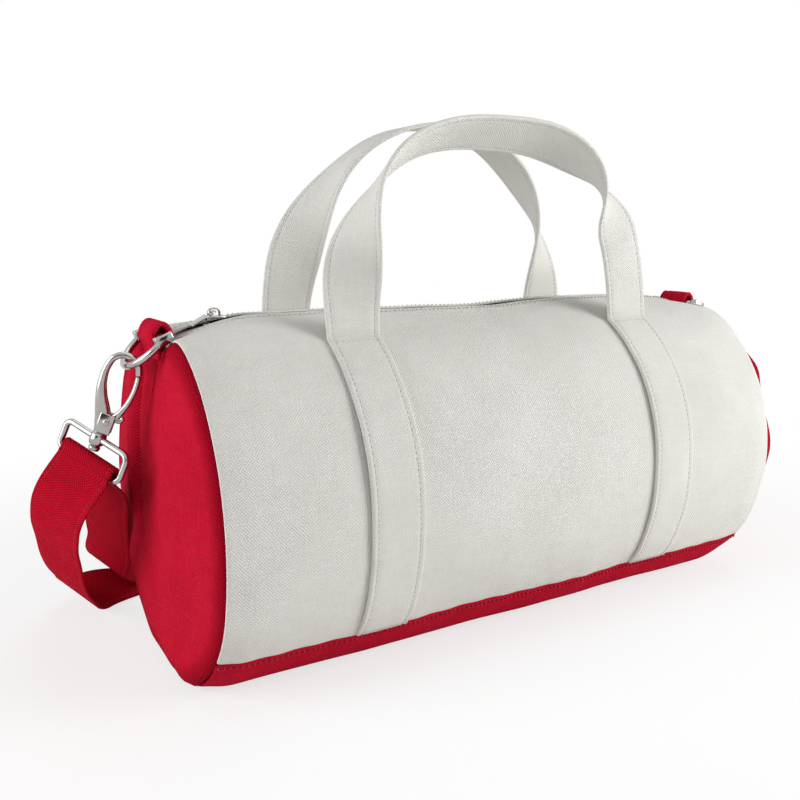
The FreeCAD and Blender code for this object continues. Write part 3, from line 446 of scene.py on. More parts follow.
def sew_along(angle, start, end, lift):
    """Stitches along the barrel at one angle."""
    count = 100
    spots = [start + (end - start) * i / count for i in range(count + 1)]
    return sew([skin(x, angle, lift) for x in spots], [skin_normal(x, angle) for x in spots])


print(f"stitches along one seam: {2 * HALF_LENGTH / STITCH_PITCH:.0f}")

# %% [markdown]
# ## Canvas panels
# The front and back panels and the red base are three bands of one barrel. A vertex is spun round the
# barrel's axis to make an arc, the arc is extruded along the barrel and cut into squares of a few
# millimetres, and every vertex is then laid on the settled skin. Modelling flat plates would be
# quicker, but a bag is a shell that sags. Angles are counted on from just before the band's start, so
# that no corner on its first edge is taken for one a full turn later.

# %% Bands of the barrel
JUST_BEFORE = 0.01
SEAM_INSET = 6.5 * MM
BASE_INSET = 3 * MM
FLUSH = -0.22 * MM


def barrel_band(first, last, around, along, ends=(-1, 1), lift=0.0):
    """A band of the skin between two angles, with its cloth map."""
    start, end = (side * HALF_LENGTH for side in ends)
    bm = bmesh.new()
    seed = bm.verts.new((start, -math.sin(first), math.cos(first)))
    bmesh.ops.spin(bm, geom=[seed], cent=(0, 0, 0), axis=(1, 0, 0), angle=last - first, steps=around)
    swept = bmesh.ops.extrude_edge_only(bm, edges=bm.edges[:])
    bmesh.ops.translate(bm, verts=new_verts(swept), vec=(end - start, 0, 0))
    lengthwise = [edge for edge in bm.edges if abs(edge.verts[0].co.x - edge.verts[1].co.x) > MM]
    bmesh.ops.subdivide_edges(bm, edges=lengthwise, cuts=along - 1, use_grid_fill=True)
    run = bm.verts.layers.float.new("run")
    girth = bm.verts.layers.float.new("girth")
    for vert in bm.verts:
        turn = (math.atan2(-vert.co.y, vert.co.z) - first + JUST_BEFORE) % (2 * math.pi)
        angle = first - JUST_BEFORE + turn
        vert[run] = vert.co.x
        vert[girth] = angle * CLOTH_RADIUS
        vert.co = skin(vert.co.x, angle, lift)
    lay_out(bm, run, girth)
    face_outwards(bm, Vector((0, 0, MIDDLE)))
    return bm


for name, sign in FACES:
    angles = sorted((sign * ZIP_ANGLE, sign * SEAM_ANGLE))
    bm = barrel_band(*angles, around=64, along=100)
    edge = sign * (ZIP_ANGLE + SEAM_INSET / CLOTH_RADIUS)
    add_thread(bm, sew_along(edge, -HALF_LENGTH, HALF_LENGTH, FLUSH), 1)
    panel = make_piece(f"{name}_canvas", bm, [cream_canvas, cream_thread], "bag",
                       [f"{name}_panel"])
    thicken(panel, CANVAS, 1)

bm = barrel_band(SEAM_ANGLE, 2 * math.pi - SEAM_ANGLE, around=54, along=100)
thread = []
for sign in (1, -1):
    edge = math.pi + sign * (math.pi - SEAM_ANGLE - BASE_INSET / CLOTH_RADIUS)
    thread += sew_along(edge, -HALF_LENGTH, HALF_LENGTH, FLUSH / 2)
add_thread(bm, thread, 1)
base = make_piece("red_base", bm, [red_canvas, red_thread], "bag", ["bottom_panel"])
thicken(base, CANVAS, 1)

# %% [markdown]
# ## End panels
# Each end is an oval of red canvas. It could be a filled circle, but then there would be nothing to
# bend: it is a ring of vertices extruded and scaled inwards many times, and the cloth is then pushed
# out into a soft swell. The tab at its top pulls a fold into it, and the tab's foot gathers it. At the
# right end the slack cloth spills past the seam in two places.

# %% End panels with a pulled fold
END_AROUND = 180
END_RINGS = 34
TUCK = 2.4 * MM
# painted shade: how dark the cloth is painted where it runs into the end seam
PAINTED_SEAM_SHADE = 0.62
FOLD = [(15.5, 184), (18, 169), (23, 151), (26, 133), (25, 116), (25, 92), (24, 60)]


def fold_line(height):
    """How far back the fold lies at a height, on the end panel."""
    height = height / MM
    for (back, high), (next_back, low) in zip(FOLD, FOLD[1:]):
        if height >= low:
            share = min(max((high - height) / (high - low), 0.0), 1.0)
            return (back + (next_back - back) * share) * MM
    return FOLD[-1][0] * MM


def end_swell(side, rim, y, z):
    """How far an end panel stands out at a place; rim is 0 in its middle and 1 on its seam."""
    swell = 6 * MM * (1 - rim ** 3)
    belly = 4.5 * MM * hump(rim - 0.88, 0.13) * hump(z - 4 * MM, 22 * MM) * step((30 * MM - y) / (60 * MM))
    offset = (y - fold_line(z)) / MM
    reach = step((z - 60 * MM) / (40 * MM)) * step((190 * MM - z) / (12 * MM))
    fold = (3 * MM * hump(offset - 12, 8) - 5.6 * MM * hump(offset, 3)) * reach
    beside = offset + 13 + (z - 150 * MM) * 0.25 / MM
    second_fold = -1.6 * MM * hump(beside, 3.5) * hump(z - 158 * MM, 22 * MM)
    gather = 1.2 * MM * math.exp((z - 190 * MM) / (16 * MM)) * hump(y, 16 * MM) * math.cos(y / (1.7 * MM))
    slant = (y + 30 * MM + (z - 21 * MM) * 0.8) / MM
    crease = -1.2 * MM * hump(slant, 5) * hump(z - 20 * MM, 16 * MM)
    spill = 0.0
    if side > 0 and y < 0:
        lip = 1 - step((rim - 0.972) / 0.02)
        spill = 6.5 * MM * rim ** 8 * lip * (hump(z - 150 * MM, 10 * MM) + hump(z - 98 * MM, 17 * MM))
    uneven = 0.8 * MM * noise.noise(Vector((side, y, z)) / (40 * MM))
    return swell + belly + fold + second_fold + gather + crease + spill + uneven


def end_panel(side):
    """An end panel at the left (side -1) or right (side 1)."""
    bm = bmesh.new()
    seed = bm.verts.new((0, 0, 1))
    bmesh.ops.spin(bm, geom=[seed], cent=(0, 0, 0), axis=(1, 0, 0), angle=2 * math.pi,
                   steps=END_AROUND, use_merge=True)
    ring = bm.edges[:]
    for i in range(1, END_RINGS):
        inner = bmesh.ops.extrude_edge_only(bm, edges=ring)
        shrink = (END_RINGS - i) / (END_RINGS - i + 1)
        bmesh.ops.scale(bm, vec=(1, shrink, shrink), verts=new_verts(inner))
        ring = [edge for edge in new_edges(inner) if edge.is_boundary]
    bmesh.ops.edgeloop_fill(bm, edges=ring)
    run = bm.verts.layers.float.new("run")
    girth = bm.verts.layers.float.new("girth")
    painted_seam_shade = bm.verts.layers.float.new("shade")
    for vert in bm.verts:
        rim = min(math.hypot(vert.co.y, vert.co.z), 1.0)
        angle = math.atan2(-vert.co.y, vert.co.z)
        edge = skin(side * HALF_LENGTH, angle, -CANVAS * 0.45)
        spot = Vector((edge.x, 0, MIDDLE)).lerp(edge, rim)
        tucked = TUCK * step((rim - 0.975) / 0.025)
        spot.x += side * (CANVAS + end_swell(side, rim, spot.y, spot.z) - tucked)
        # painted shade: the outer ring of the panel is darkened towards the seam, where shade falls in its
        # valley
        vert[painted_seam_shade] = PAINTED_SEAM_SHADE * step((rim - 0.86) / 0.12)
        vert[run] = spot.y
        vert[girth] = spot.z
        vert.co = spot
    lay_out(bm, run, girth)
    face_outwards(bm, Vector((0, 0, MIDDLE)))
    return bm


for name, side in ENDS:
    panel = make_piece(f"{name}_end", end_panel(side), [red_canvas], "bag",
                       [f"{name}_end_panel"])
    thicken(panel, CANVAS, 0)

# %% [markdown]
# ## Strips of cloth
# Handles, tabs and the shoulder strap are flat strips that bend and twist. A curve with a bevel would
# twist as it likes, so a strip is swept by hand: a thin rounded outline is extruded from station to
# station, and each station says where its middle is, which way its width goes and which way its path.
# The outline is pressed in a little under its two rows of stitches.

# %% Sweep a strip
EDGE_ROUND = 0.9 * MM
THREAD_OFF = 0.36


def strip_outline(width, thickness, inset):
    """Places across and off the strip, once round its outline."""
    half = width / 2
    across = [0, 0.35 * half, 0.65 * half, half - inset - 1.2 * MM, half - inset, half - inset + 1.2 * MM,
              half - 0.8 * MM, half - 0.25 * MM]
    upper = []
    for a in across:
        pressed = 0.18 * thickness * hump(a - half + inset, EDGE_ROUND)
        past = max((a - half + EDGE_ROUND) / EDGE_ROUND, 0)
        upper.append((a, math.sqrt(1 - past ** 2) * thickness / 2 - pressed))
    right = upper[1:] + [(half, 0.0)] + [(a, -b) for a, b in upper[:0:-1]]
    left = [(-a, b) for a, b in right]
    return [upper[0]] + right + [(0, -upper[0][1])] + left[::-1]


def path_ways(points):
    """The direction of a path at each of its points."""
    last = len(points) - 1
    return [(points[min(i + 1, last)] - points[max(i - 1, 0)]).normalized() for i in range(last + 1)]


def squared(stations):
    """Stations of middle and width direction, with path and face directions worked out."""
    ways = path_ways([middle for middle, across in stations])
    done = []
    for (middle, across), way in zip(stations, ways):
        across = (across - way * across.dot(way)).normalized()
        done.append((middle, across, way, way.cross(across)))
    return done


def sweep_strip(bm, stations, width, thickness, inset):
    """Extrude the outline of a strip through its stations, with its cloth map."""
    run = bm.verts.layers.float.new("run")
    side = bm.verts.layers.float.new("side")
    off = bm.verts.layers.float.new("off")
    outline = []
    for a, b in strip_outline(width, thickness, inset):
        vert = bm.verts.new()
        vert[side] = a
        vert[off] = b
        outline.append(vert)
    ring = [bm.edges.new(pair) for pair in zip(outline, outline[1:] + outline[:1])]
    ends = [ring]
    distance = 0.0
    for i, (middle, across, way, face) in enumerate(stations):
        if i:
            made = bmesh.ops.extrude_edge_only(bm, edges=ring)
            ring = [edge for edge in new_edges(made) if edge.is_boundary]
            distance += (middle - stations[i - 1][0]).length
        for vert in {vert for edge in ring for vert in edge.verts}:
            vert.co = middle + across * vert[side] + face * vert[off]
            vert[run] = distance
    ends.append(ring)
    for ring in ends:
        bmesh.ops.edgeloop_fill(bm, edges=ring)
    bmesh.ops.recalc_face_normals(bm, faces=bm.faces[:])
    lay_out(bm, side, run)
    return distance


def sew_strip(stations, width, thickness, inset):
    """Two rows of stitches along each face of a strip."""
    places = []
    for edge in (-1, 1):
        for side in (-1, 1):
            reach, rise = edge * (width / 2 - inset), side * thickness * THREAD_OFF
            points = [middle + across * reach + face * rise for middle, across, way, face in stations]
            places += sew(points, [face * side for middle, across, way, face in stations])
    return places


print("corners in a strip's outline:", len(strip_outline(STRIP_WIDTH, 2 * MM, 3 * MM)))

# %% [markdown]
# ## Handles
# Each handle is one strip of canvas: sewn up the barrel from the base seam, free above a cross stitch,
# over in a squared arch and down again. On the real bag the free loop folds over at the cross stitch,
# so the whole strip is one piece that bends there: below the stitch it follows the bag and above it
# the handle's body. The loop turns over between its legs and its top, as a hand has left it.

# %% Handles
HANDLE_THICK = 2.6 * MM
HANDLE_INSET = 3.4 * MM
HANDLE_GAP = 0.2 * MM
FOOT_SHORT = 1.5 * MM
FOOT_PRESSED = 1.3 * MM
SEWN_HEIGHT = 187 * MM
SEWN_ANGLE = math.acos((SEWN_HEIGHT - MIDDLE) / RADIUS)
LEAN = math.radians(5.7)
LEG_STEPS = 46
LOOP_STEPS = 90
LOOPS = {
    "front": {"rise": 116 * MM, "square": 2.65, "turn": math.radians(115),
              "legs": ((0.0, 0.89), (0.47, 1.0))},
    "back": {"rise": 125 * MM, "square": 2.1, "turn": math.radians(-97),
             "legs": ((0.05, 0.88), (0.0, 0.86))},
}


def handle_stations(sign, shape):
    """Stations of a handle on the front (sign 1) or back (sign -1), from left base to right base."""
    lift = HANDLE_THICK / 2 + HANDLE_GAP
    foot = SEAM_ANGLE - FOOT_SHORT / CLOTH_RADIUS
    leg = []
    for i in range(LEG_STEPS + 1):
        pressed = FOOT_PRESSED * (1 - step(i / 4))
        leg.append((sign * (foot + (SEWN_ANGLE - foot) * i / LEG_STEPS), lift - pressed))
    left = [(skin(-STRIP_X, angle, off), Vector((1, 0, 0))) for angle, off in leg]
    right = [(skin(STRIP_X, angle, off), Vector((1, 0, 0))) for angle, off in leg[::-1]]
    root = Vector((0, left[-1][0].y, left[-1][0].z))
    rise = Vector((0, sign * math.sin(LEAN), math.cos(LEAN)))
    outward = Vector((0, -sign * math.cos(LEAN), math.sin(LEAN)))
    power = 2 / shape["square"]
    spots, heights = [], []
    for i in range(1, LOOP_STEPS):
        angle = math.pi * i / LOOP_STEPS
        across = -math.copysign(abs(math.cos(angle)) ** power, math.cos(angle)) * STRIP_X
        heights.append(math.sin(angle) ** power)
        spots.append(root + Vector((across, 0, 0)) + rise * (heights[-1] * shape["rise"]))
    loop = []
    for spot, way, height in zip(spots, path_ways(spots), heights):
        inward = way.cross(outward) * sign
        start, end = shape["legs"][spot.x > 0]
        twist = shape["turn"] * step((height - start) / (end - start))
        loop.append((spot, inward * math.cos(twist) + outward * math.sin(twist)))
    return left, loop, right


def build_handle(name, sign):
    """One handle with its stitches, bending at its sewn line."""
    left, loop, right = handle_stations(sign, LOOPS[name])
    if loop[0][1].x < 0:
        loop = [(spot, across * -1) for spot, across in loop]
    if loop[-1][1].dot(right[0][1]) < 0:
        right = [(spot, across * -1) for spot, across in right]
    stations = squared(left + loop + right)
    bm = bmesh.new()
    length = sweep_strip(bm, stations, STRIP_WIDTH, HANDLE_THICK, HANDLE_INSET)
    thread = sew_strip(stations, STRIP_WIDTH, HANDLE_THICK, HANDLE_INSET)
    for middle, across, way, face in (stations[LEG_STEPS - 1], stations[-LEG_STEPS]):
        outside = face if face.y * sign < 0 else face * -1
        reach = across * (STRIP_WIDTH / 2 - HANDLE_INSET)
        spots = [middle + reach * share + outside * (HANDLE_THICK * 0.48)
                 for share in (-1, -0.5, 0, 0.5, 1)]
        thread += sew(spots, [outside] * len(spots))
    add_thread(bm, thread, 1)
    nodes = [f"{name}_handle", f"{name}_strip_left", f"{name}_strip_right"]
    piece = make_piece(f"{name}_strip", bm, [cream_canvas, cream_thread], None, nodes)
    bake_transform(piece)
    print(f"{name} handle strip is {length:.3f} long")


for name, sign in FACES:
    build_handle(name, sign)

# %% [markdown]
# ## Shoulder strap
# The strap is one length of webbing. It starts on the glide's middle bar, runs along the floor behind
# the bag, goes over the left bail, comes back on top of itself through the glide and ends sewn over
# the right bail. A Bezier curve with automatic handles gives its line through a few places, and the
# strip is swept along the points that Blender reads off that curve. Its width lies along each bail's
# bar where it hangs, and level where it lies on the floor.

# %% Places along the strap
STRAP_WIDTH = 38 * MM
STRAP_THICK = 1.6 * MM
LANE = HALF_DEPTH + 58 * MM
LOW = 1.1 * MM
SECOND = 3.1 * MM
FOLD_RADIUS = 3.4 * MM
FOLD_RISE = 6.4 * MM
BULGE = 21.5 * MM
FLAT_FROM = HALF_LENGTH + 18 * MM
FLAT_RUN = 62 * MM
glide_low, glide_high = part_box("strap_glide")
GLIDE_X = (glide_low.x + glide_high.x) / 2
OUTER_HANG = ((0.15, 0.83), (0.3, 1.0), (0.5, 0.88), (0.7, 0.7), (0.87, 0.38))
INNER_HANG = ((0.2, -0.26), (0.45, -0.16), (0.75, -0.06))
OUTER_LANDING = (24, 40, 9)
INNER_LANDING = (0, 20, 16)
FLOOR_BOW = ((10, 22), (45, 6.4), (80, 0), (100, 0))


def bail_axes(name, side):
    """Middle of a bail's lower bar, its strap's width direction, its inward and its upward directions."""
    swing, swivel = joints[f"{name}_bail_swing"], joints[f"{name}_hook_swivel"]
    bar, along, up = Vector(swing["pos_m"]), Vector(swing["axis"]), Vector(swivel["axis"]) * -side
    return bar, along * -side, up.cross(along), up


def hanging(name, side, layer, hang, foot, level):
    """Places from a bail's bar down to the lane; layer -1 is outside, 1 inside."""
    bar, _, inward, up = bail_axes(name, side)
    out, short, high = foot
    landing = Vector((side * (HALF_LENGTH + out * MM), LANE - short * MM, high * MM))
    chord = landing - bar
    line = chord.normalized()
    outward = (line * inward.dot(line) - inward).normalized()
    start = bar + inward * (layer * FOLD_RADIUS)
    places = [start, start - up * (2 * MM)]
    places += [bar + chord * share + outward * (bow * BULGE) for share, bow in hang]
    places.append(landing)
    for run, aside in FLOOR_BOW[max(layer, 0):]:
        places.append(Vector((side * (HALF_LENGTH - run * MM), LANE - aside * MM, level)))
    return places


def strap_places():
    """All places of the strap in order."""
    left_out = hanging("left", -1, -1, OUTER_HANG, OUTER_LANDING, LOW)
    left_in = hanging("left", -1, 1, INNER_HANG, INNER_LANDING, SECOND)
    right_out = hanging("right", 1, -1, OUTER_HANG, OUTER_LANDING, LOW)
    bar, _, _, up = bail_axes("left", -1)
    right_bar, _, right_inward, right_up = bail_axes("right", 1)

    def lane(run, height):
        return Vector((GLIDE_X + run * MM, LANE, height * MM))

    wrap = [lane(-7, 5.8), lane(1.2, 5.8), lane(3.55, 3.45), lane(1.2, 1.1), lane(-12, 1.1)]
    passing = [lane(-36, 3.1), lane(-26, 4.2), lane(-17, 5.8), lane(-8, 7.7), lane(1, 8), lane(5.5, 7),
               lane(8.5, 4), lane(11.5, 1.3), lane(15, 1.1), lane(30, 1.1)]
    tail = [right_bar + right_inward * FOLD_RADIUS]
    tail.append(right_out[1] + right_inward * (2 * FOLD_RADIUS) - right_up * (4 * MM))
    tail.append(right_out[2] + right_inward * (2.6 * MM) - right_up * (1 * MM))
    tail.append(right_out[3] + right_inward * (2.2 * MM))
    places = wrap + left_out[::-1] + [bar + up * FOLD_RISE] + left_in
    return places + passing + right_out[::-1] + [right_bar + right_up * FOLD_RISE] + tail


def smooth_line(name, places):
    """Points read off a Bezier curve through places."""
    curve = bpy.data.curves.new(name, "CURVE")
    curve.dimensions = "3D"
    curve.resolution_u = 10
    spline = curve.splines.new("BEZIER")
    spline.bezier_points.add(len(places) - 1)
    for point, place in zip(spline.bezier_points, places):
        point.co = place
        point.handle_left_type = "AUTO"
        point.handle_right_type = "AUTO"
    guide = bpy.data.objects.new(name, curve)
    bpy.context.scene.collection.objects.link(guide)
    bpy.context.view_layer.update()
    line = bpy.data.meshes.new_from_object(guide.evaluated_get(bpy.context.evaluated_depsgraph_get()))
    points = [vert.co.copy() for vert in line.vertices]
    bpy.data.objects.remove(guide)
    bpy.data.curves.remove(curve)
    bpy.data.meshes.remove(line)
    return points


strap_line = smooth_line("strap_line", strap_places())
line_length = sum((b - a).length for a, b in zip(strap_line, strap_line[1:]))
print(f"strap line: {len(strap_line)} points, {line_length:.3f} long")

# %% [markdown]
# ## Webbing along the line
# Webbing turns only slowly from one way of lying to the other, so the change from the bails' slant to
# the level of the floor is spread over a run and over a height. No edge may go below the floor.

# %% Sweep the strap
STRAP_INSET = 3 * MM
FLAT_BELOW = 46 * MM
FLAT_DROP = 38 * MM


def strap_stations(points):
    """The strap's width lies along the bails above and level below."""
    left_across = bail_axes("left", -1)[1]
    right_across = bail_axes("right", 1)[1]
    level = Vector((0, -1, 0))
    stations = []
    for point in points:
        flat = step((FLAT_FROM - abs(point.x)) / FLAT_RUN) * step((FLAT_BELOW - point.z) / FLAT_DROP)
        hung = left_across if point.x < 0 else right_across
        across = (hung * (1 - flat) + level * flat).normalized()
        standing = LOW + abs(across.z) * STRAP_WIDTH / 2
        stations.append((Vector((point.x, point.y, max(point.z, standing))), across))
    return stations


stations = squared(strap_stations(strap_line))
bm = bmesh.new()
strap_length = sweep_strip(bm, stations, STRAP_WIDTH, STRAP_THICK, STRAP_INSET)
add_thread(bm, sew_strip(stations, STRAP_WIDTH, STRAP_THICK, STRAP_INSET), 1)
strap = make_piece("strap_webbing", bm, [red_webbing, red_thread], "bag", ["shoulder_strap"])

# %% [markdown]
# ## Tabs
# A tab is a short loop of red canvas round the bar of a D-ring, caught in the end seam. It is swept
# like any strip, round the bar and back.

# %% Tabs round the D-rings
TAB_WIDTH = 24 * MM
TAB_THICK = 2.8 * MM
TAB_STAND = 12 * MM
TAB_PULL = (5 * MM, -4 * MM)
TAB_ROOM = 1.5 * MM
TAB_SLACK = 2 * MM
TAB_INSET = 3 * MM
TAB_FEET = (3 * MM, -1 * MM)
RING_WIRE = 2 * MM


def ring_bar(name, side):
    """Middle of a D-ring's bar: the slack corner of the bag lets it sink in a little."""
    along, down = TAB_PULL
    return Vector(joints[f"{name}_dring_swing"]["pos_m"]) + Vector((-side * along, 0, down))


def tab_line(name, side):
    """Places of the tab's loop, from the end panel round the bar and back over the canvas edge."""
    bar = ring_bar(name, side)
    radius = RING_WIRE + TAB_ROOM + TAB_THICK / 2
    places = [Vector((side * (HALF_LENGTH + TAB_FEET[0]), 0, bar.z - TAB_STAND)),
              Vector((bar.x + side * radius * 0.5, 0, bar.z - radius * 1.5))]
    for degrees in range(-30, 151, 15):
        turn = math.radians(degrees)
        high = radius + TAB_SLACK * max(math.sin(turn), 0)
        places.append(bar + Vector((side * radius * math.cos(turn), 0, high * math.sin(turn))))
    places.append(Vector((bar.x - side * radius * 0.9, 0, bar.z - radius * 1.2)))
    places.append(Vector((side * (HALF_LENGTH + TAB_FEET[1]), 0, bar.z - TAB_STAND)))
    return places


for name, side in ENDS:
    line = smooth_line(f"{name}_tab_line", tab_line(name, side))
    stations = squared([(point, Vector((0, 1, 0))) for point in line])
    bm = bmesh.new()
    sweep_strip(bm, stations, TAB_WIDTH, TAB_THICK, TAB_INSET)
    make_piece(f"{name}_loop", bm, [red_canvas], "bag", [f"{name}_tab"])

# %% [markdown]
# ## Zip
# Two tapes lie under the canvas edges and each carries a row of metal teeth. A tooth is a bevelled
# block, and the two rows stand half a pitch apart so that they mesh. The whole zip sinks a little
# where the pull rests on it.

# %% Zip tapes and teeth
TEETH_PITCH = 2.2 * MM
ZIP_SINK = 1 * MM
PARK = 160 * MM
PARK_SINK = 2.9 * MM
TAPE_REACH = 14.5 * MM
TAPE_EDGES = (0.6 * MM, TAPE_REACH)
TAPE_DEPTH = 2.2 * MM
TAPE_THICK = 0.7 * MM
TOOTH = Vector((1.2, 2.4, 2.2)) * MM
TOOTH_DEPTH = 2.4 * MM
TOOTH_OFF = 1.5 * MM
tooth_low, tooth_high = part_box("zip_teeth_front")


def zip_low(x, off=0.0):
    """How far the zip lies below the canvas; its middle sags where the pull rests."""
    return ZIP_SINK + PARK_SINK * hump(x - PARK, 12 * MM) * max(1 - abs(off) / TAPE_REACH, 0)


for name, sign in FACES:
    angles = sorted(sign * edge / CLOTH_RADIUS for edge in TAPE_EDGES)
    bm = barrel_band(*angles, around=6, along=60, ends=(-0.99, 0.99), lift=-TAPE_DEPTH)
    for vert in bm.verts:
        vert.co.z -= zip_low(vert.co.x, vert.co.y)
    tape = make_piece(f"zip_tape_{name}_cloth", bm, [cream_tape], "bag", [f"zip_tape_{name}"])
    thicken(tape, TAPE_THICK, 0)
    bm = bmesh.new()
    tooth = bmesh.ops.create_cube(bm, size=1.0)["verts"]
    bmesh.ops.scale(bm, vec=TOOTH, verts=tooth)
    bmesh.ops.bevel(bm, geom=bm.edges[:], offset=0.3 * MM, affect="EDGES", segments=1, profile=0.5,
                    material=-1)
    count = int((tooth_high.x - tooth_low.x) / TEETH_PITCH)
    start = tooth_low.x + (0.25 + 0.5 * (sign > 0)) * TEETH_PITCH
    first = bm.verts[:] + bm.edges[:] + bm.faces[:]
    for i in range(count):
        x = start + i * TEETH_PITCH
        spot = skin(x, 0, -TOOTH_DEPTH) + Vector((0, -sign * TOOTH_OFF, -zip_low(x)))
        copy = bmesh.ops.duplicate(bm, geom=first)
        bmesh.ops.translate(bm, verts=new_verts(copy), vec=spot)
    bmesh.ops.delete(bm, geom=new_verts({"geom": first}), context="VERTS")
    make_piece(f"zip_row_{name}", bm, [nickel], "bag", [f"zip_teeth_{name}"])

# %% [markdown]
# ## Bindings
# Inside, a narrow tape binds each end seam. It is a thin band of the same skin, a little further in.

# %% Seam bindings
BINDING_REACH = (0.93, 0.975)
BINDING_GAP = 17 * MM / CLOTH_RADIUS
BINDING_ANGLES = (BINDING_GAP, 2 * math.pi - BINDING_GAP)
BINDING_THICK = 0.6 * MM
BINDING_LIFT = -CANVAS - 0.4 * MM
for name, side in ENDS:
    ends = sorted(side * share for share in BINDING_REACH)
    bm = barrel_band(*BINDING_ANGLES, around=90, along=3, ends=ends, lift=BINDING_LIFT)
    binding = make_piece(f"{name}_seam_tape", bm, [cream_tape], "bag", [f"{name}_binding"])
    thicken(binding, BINDING_THICK, 0)

# %% [markdown]
# ## Bars of metal
# The hardware is cast or bent from round bar. A bar is swept like the strips, with an oval section
# that may grow and shrink on the way: each station says where the middle is and gives the section's
# two half-axes as vectors. Flat parts are bevelled blocks.

# %% Sweep a bar
def edges_of(verts):
    """The edges at some vertices, each once and in a steady order."""
    return list(dict.fromkeys(edge for vert in verts for edge in vert.link_edges))


def sweep_bar(bm, stations, closed=False, corners=14):
    """A bar of oval section through its stations, capped or joined end to end."""
    turn = bm.verts.layers.float.get("turn") or bm.verts.layers.float.new("turn")
    first = bmesh.ops.create_circle(bm, segments=corners, radius=1.0)["verts"]
    for vert in first:
        vert[turn] = math.atan2(vert.co.y, vert.co.x)
    ring = edges_of(first)
    start = ring
    for i, (middle, side, face) in enumerate(stations):
        if i:
            made = bmesh.ops.extrude_edge_only(bm, edges=ring)
            ring = [edge for edge in new_edges(made) if edge.is_boundary]
        for vert in {vert for edge in ring for vert in edge.verts}:
            vert.co = middle + side * math.cos(vert[turn]) + face * math.sin(vert[turn])
    if closed:
        bmesh.ops.bridge_loops(bm, edges=start + ring)
    else:
        bmesh.ops.edgeloop_fill(bm, edges=start)
        bmesh.ops.edgeloop_fill(bm, edges=ring)
    bmesh.ops.recalc_face_normals(bm, faces=bm.faces[:])


def flat_bar(points, halves, plane, closed=False):
    """Stations along points in a plane; halves are the half sizes in the plane and square to it."""
    ways = path_ways(points)
    if closed:
        ways[0] = ways[-1] = (points[1] - points[-1]).normalized()
    return [(point, way.cross(plane).normalized() * a, plane * b)
            for point, way, (a, b) in zip(points, ways, halves)]


def turned_bar(bm, rows, place, plane, corners=14):
    """A straight round bar through rows of a place along it and a half width, in millimetres."""
    points = [place(along) for along, half in rows]
    halves = [(half * MM, half * MM) for along, half in rows]
    sweep_bar(bm, flat_bar(points, halves, plane), corners=corners)


def shaped_bar(bm, name, rows, place, plane):
    """A bar through rows of across, height and two half sizes, smoothed by a curve."""
    points = smooth_line(name, [place(across, 0, height) for across, height, a, b in rows])
    halves = []
    for i in range(len(points)):
        row, share = divmod(i * (len(rows) - 1) / (len(points) - 1), 1)
        here, there = rows[int(row)], rows[min(int(row) + 1, len(rows) - 1)]
        halves.append(tuple((here[k] + (there[k] - here[k]) * share) * MM for k in (2, 3)))
    sweep_bar(bm, flat_bar(points, halves, plane))


def block_of(bm, spans, bevel, place):
    """A bevelled block between low and high values on three axes, set in place."""
    cube = bmesh.ops.create_cube(bm, size=1.0)["verts"]
    lows, highs = [span[0] for span in spans], [span[1] for span in spans]
    edges = edges_of(cube)
    for vert in cube:
        corner = [low + (high - low) * (value + 0.5) for low, high, value in zip(lows, highs, vert.co)]
        vert.co = Vector(corner) * MM
    made = bmesh.ops.bevel(bm, geom=edges, offset=bevel * MM, affect="EDGES", segments=2, profile=0.5,
                           material=-1)
    rounded = {vert for face in made["faces"] for vert in face.verts}
    for vert in rounded | {vert for vert in cube if vert.is_valid}:
        vert.co = place(*(vert.co / MM))


# %% [markdown]
# ## Hooks
# A hook hangs on its D-ring and carries a bail in a swivel. Its arm is cast: thick where it leaves the
# flat base, thinner round the eye. Two cheeks hold the gate on its rivet. The gate is a bowed lever
# that closes the eye. Every shape is drawn in the hook's own frame, taken from its joints, with its
# sizes in millimetres above the bail's lower bar.

# %% Sizes of a hook
BAIL_HEIGHT = 16
BAIL_HALF = 22.5
BAIL_CORNER = 4
BAIL_WIRE = 1.9 * MM
EYE_CENTRE = 56.4
RIVET_SPOT = (1.5, 26.8)
CHEEKS = ((-3, -1.7), (1.7, 3))
CHEEK_WIDTH = (-3, 5.2)
CHEEK_HEIGHT = (20, 31.5)
STEM = ((8.6, 1.6), (9, 2.8), (10.2, 3.2), (11, 3.1), (11.4, 2.6), (11.5, 1.95), (20.5, 1.95))
BOSS = ((12.4, 3.2), (12.8, 3.9), (14, 4.3), (16, 4.5), (18, 4.3), (19.2, 3.9), (19.6, 3.2))
RIVET_HEADS = ((-3.9, 0.9), (-3.7, 1.6), (-3.2, 1.9), (3.2, 1.9), (3.7, 1.6), (3.9, 0.9))
KNUCKLE = ((-1.4, 3.1), (1.4, 3.1))
ARM = [(0.6, 19.6, 4.0, 2.9), (-0.6, 26, 4.6, 2.9), (-3.4, 33, 4.0, 2.7), (-6.4, 40, 3.1, 2.4),
       (-8.4, 48, 2.3, 2.1), (-8.4, EYE_CENTRE, 1.9, 1.9), (-6, EYE_CENTRE + 6, 1.8, 1.8),
       (0, EYE_CENTRE + 8.5, 1.8, 1.8), (6, EYE_CENTRE + 6, 1.8, 1.8), (8.6, EYE_CENTRE + 0.6, 1.7, 1.7)]
GATE = [(*RIVET_SPOT, 2.4, 1.3), (4.6, 30.5, 2.0, 1.3), (6.9, 35.5, 1.7, 1.4), (8.6, 42, 1.5, 1.7),
        (9.2, 49, 1.5, 1.7), (8.7, EYE_CENTRE - 0.2, 1.5, 1.6)]
LEVER = [(4.6, 29, 1.5, 1.2), (7.2, 29.2, 1.5, 1.3), (8.8, 31.5, 1.2, 1.2)]
print("the eye stands", EYE_CENTRE, "mm above the bail's bar")

# %% [markdown]
# ## Casting a hook
# Hook, gate and bail turn against each other, so each is a piece of its own that rides on its own body.

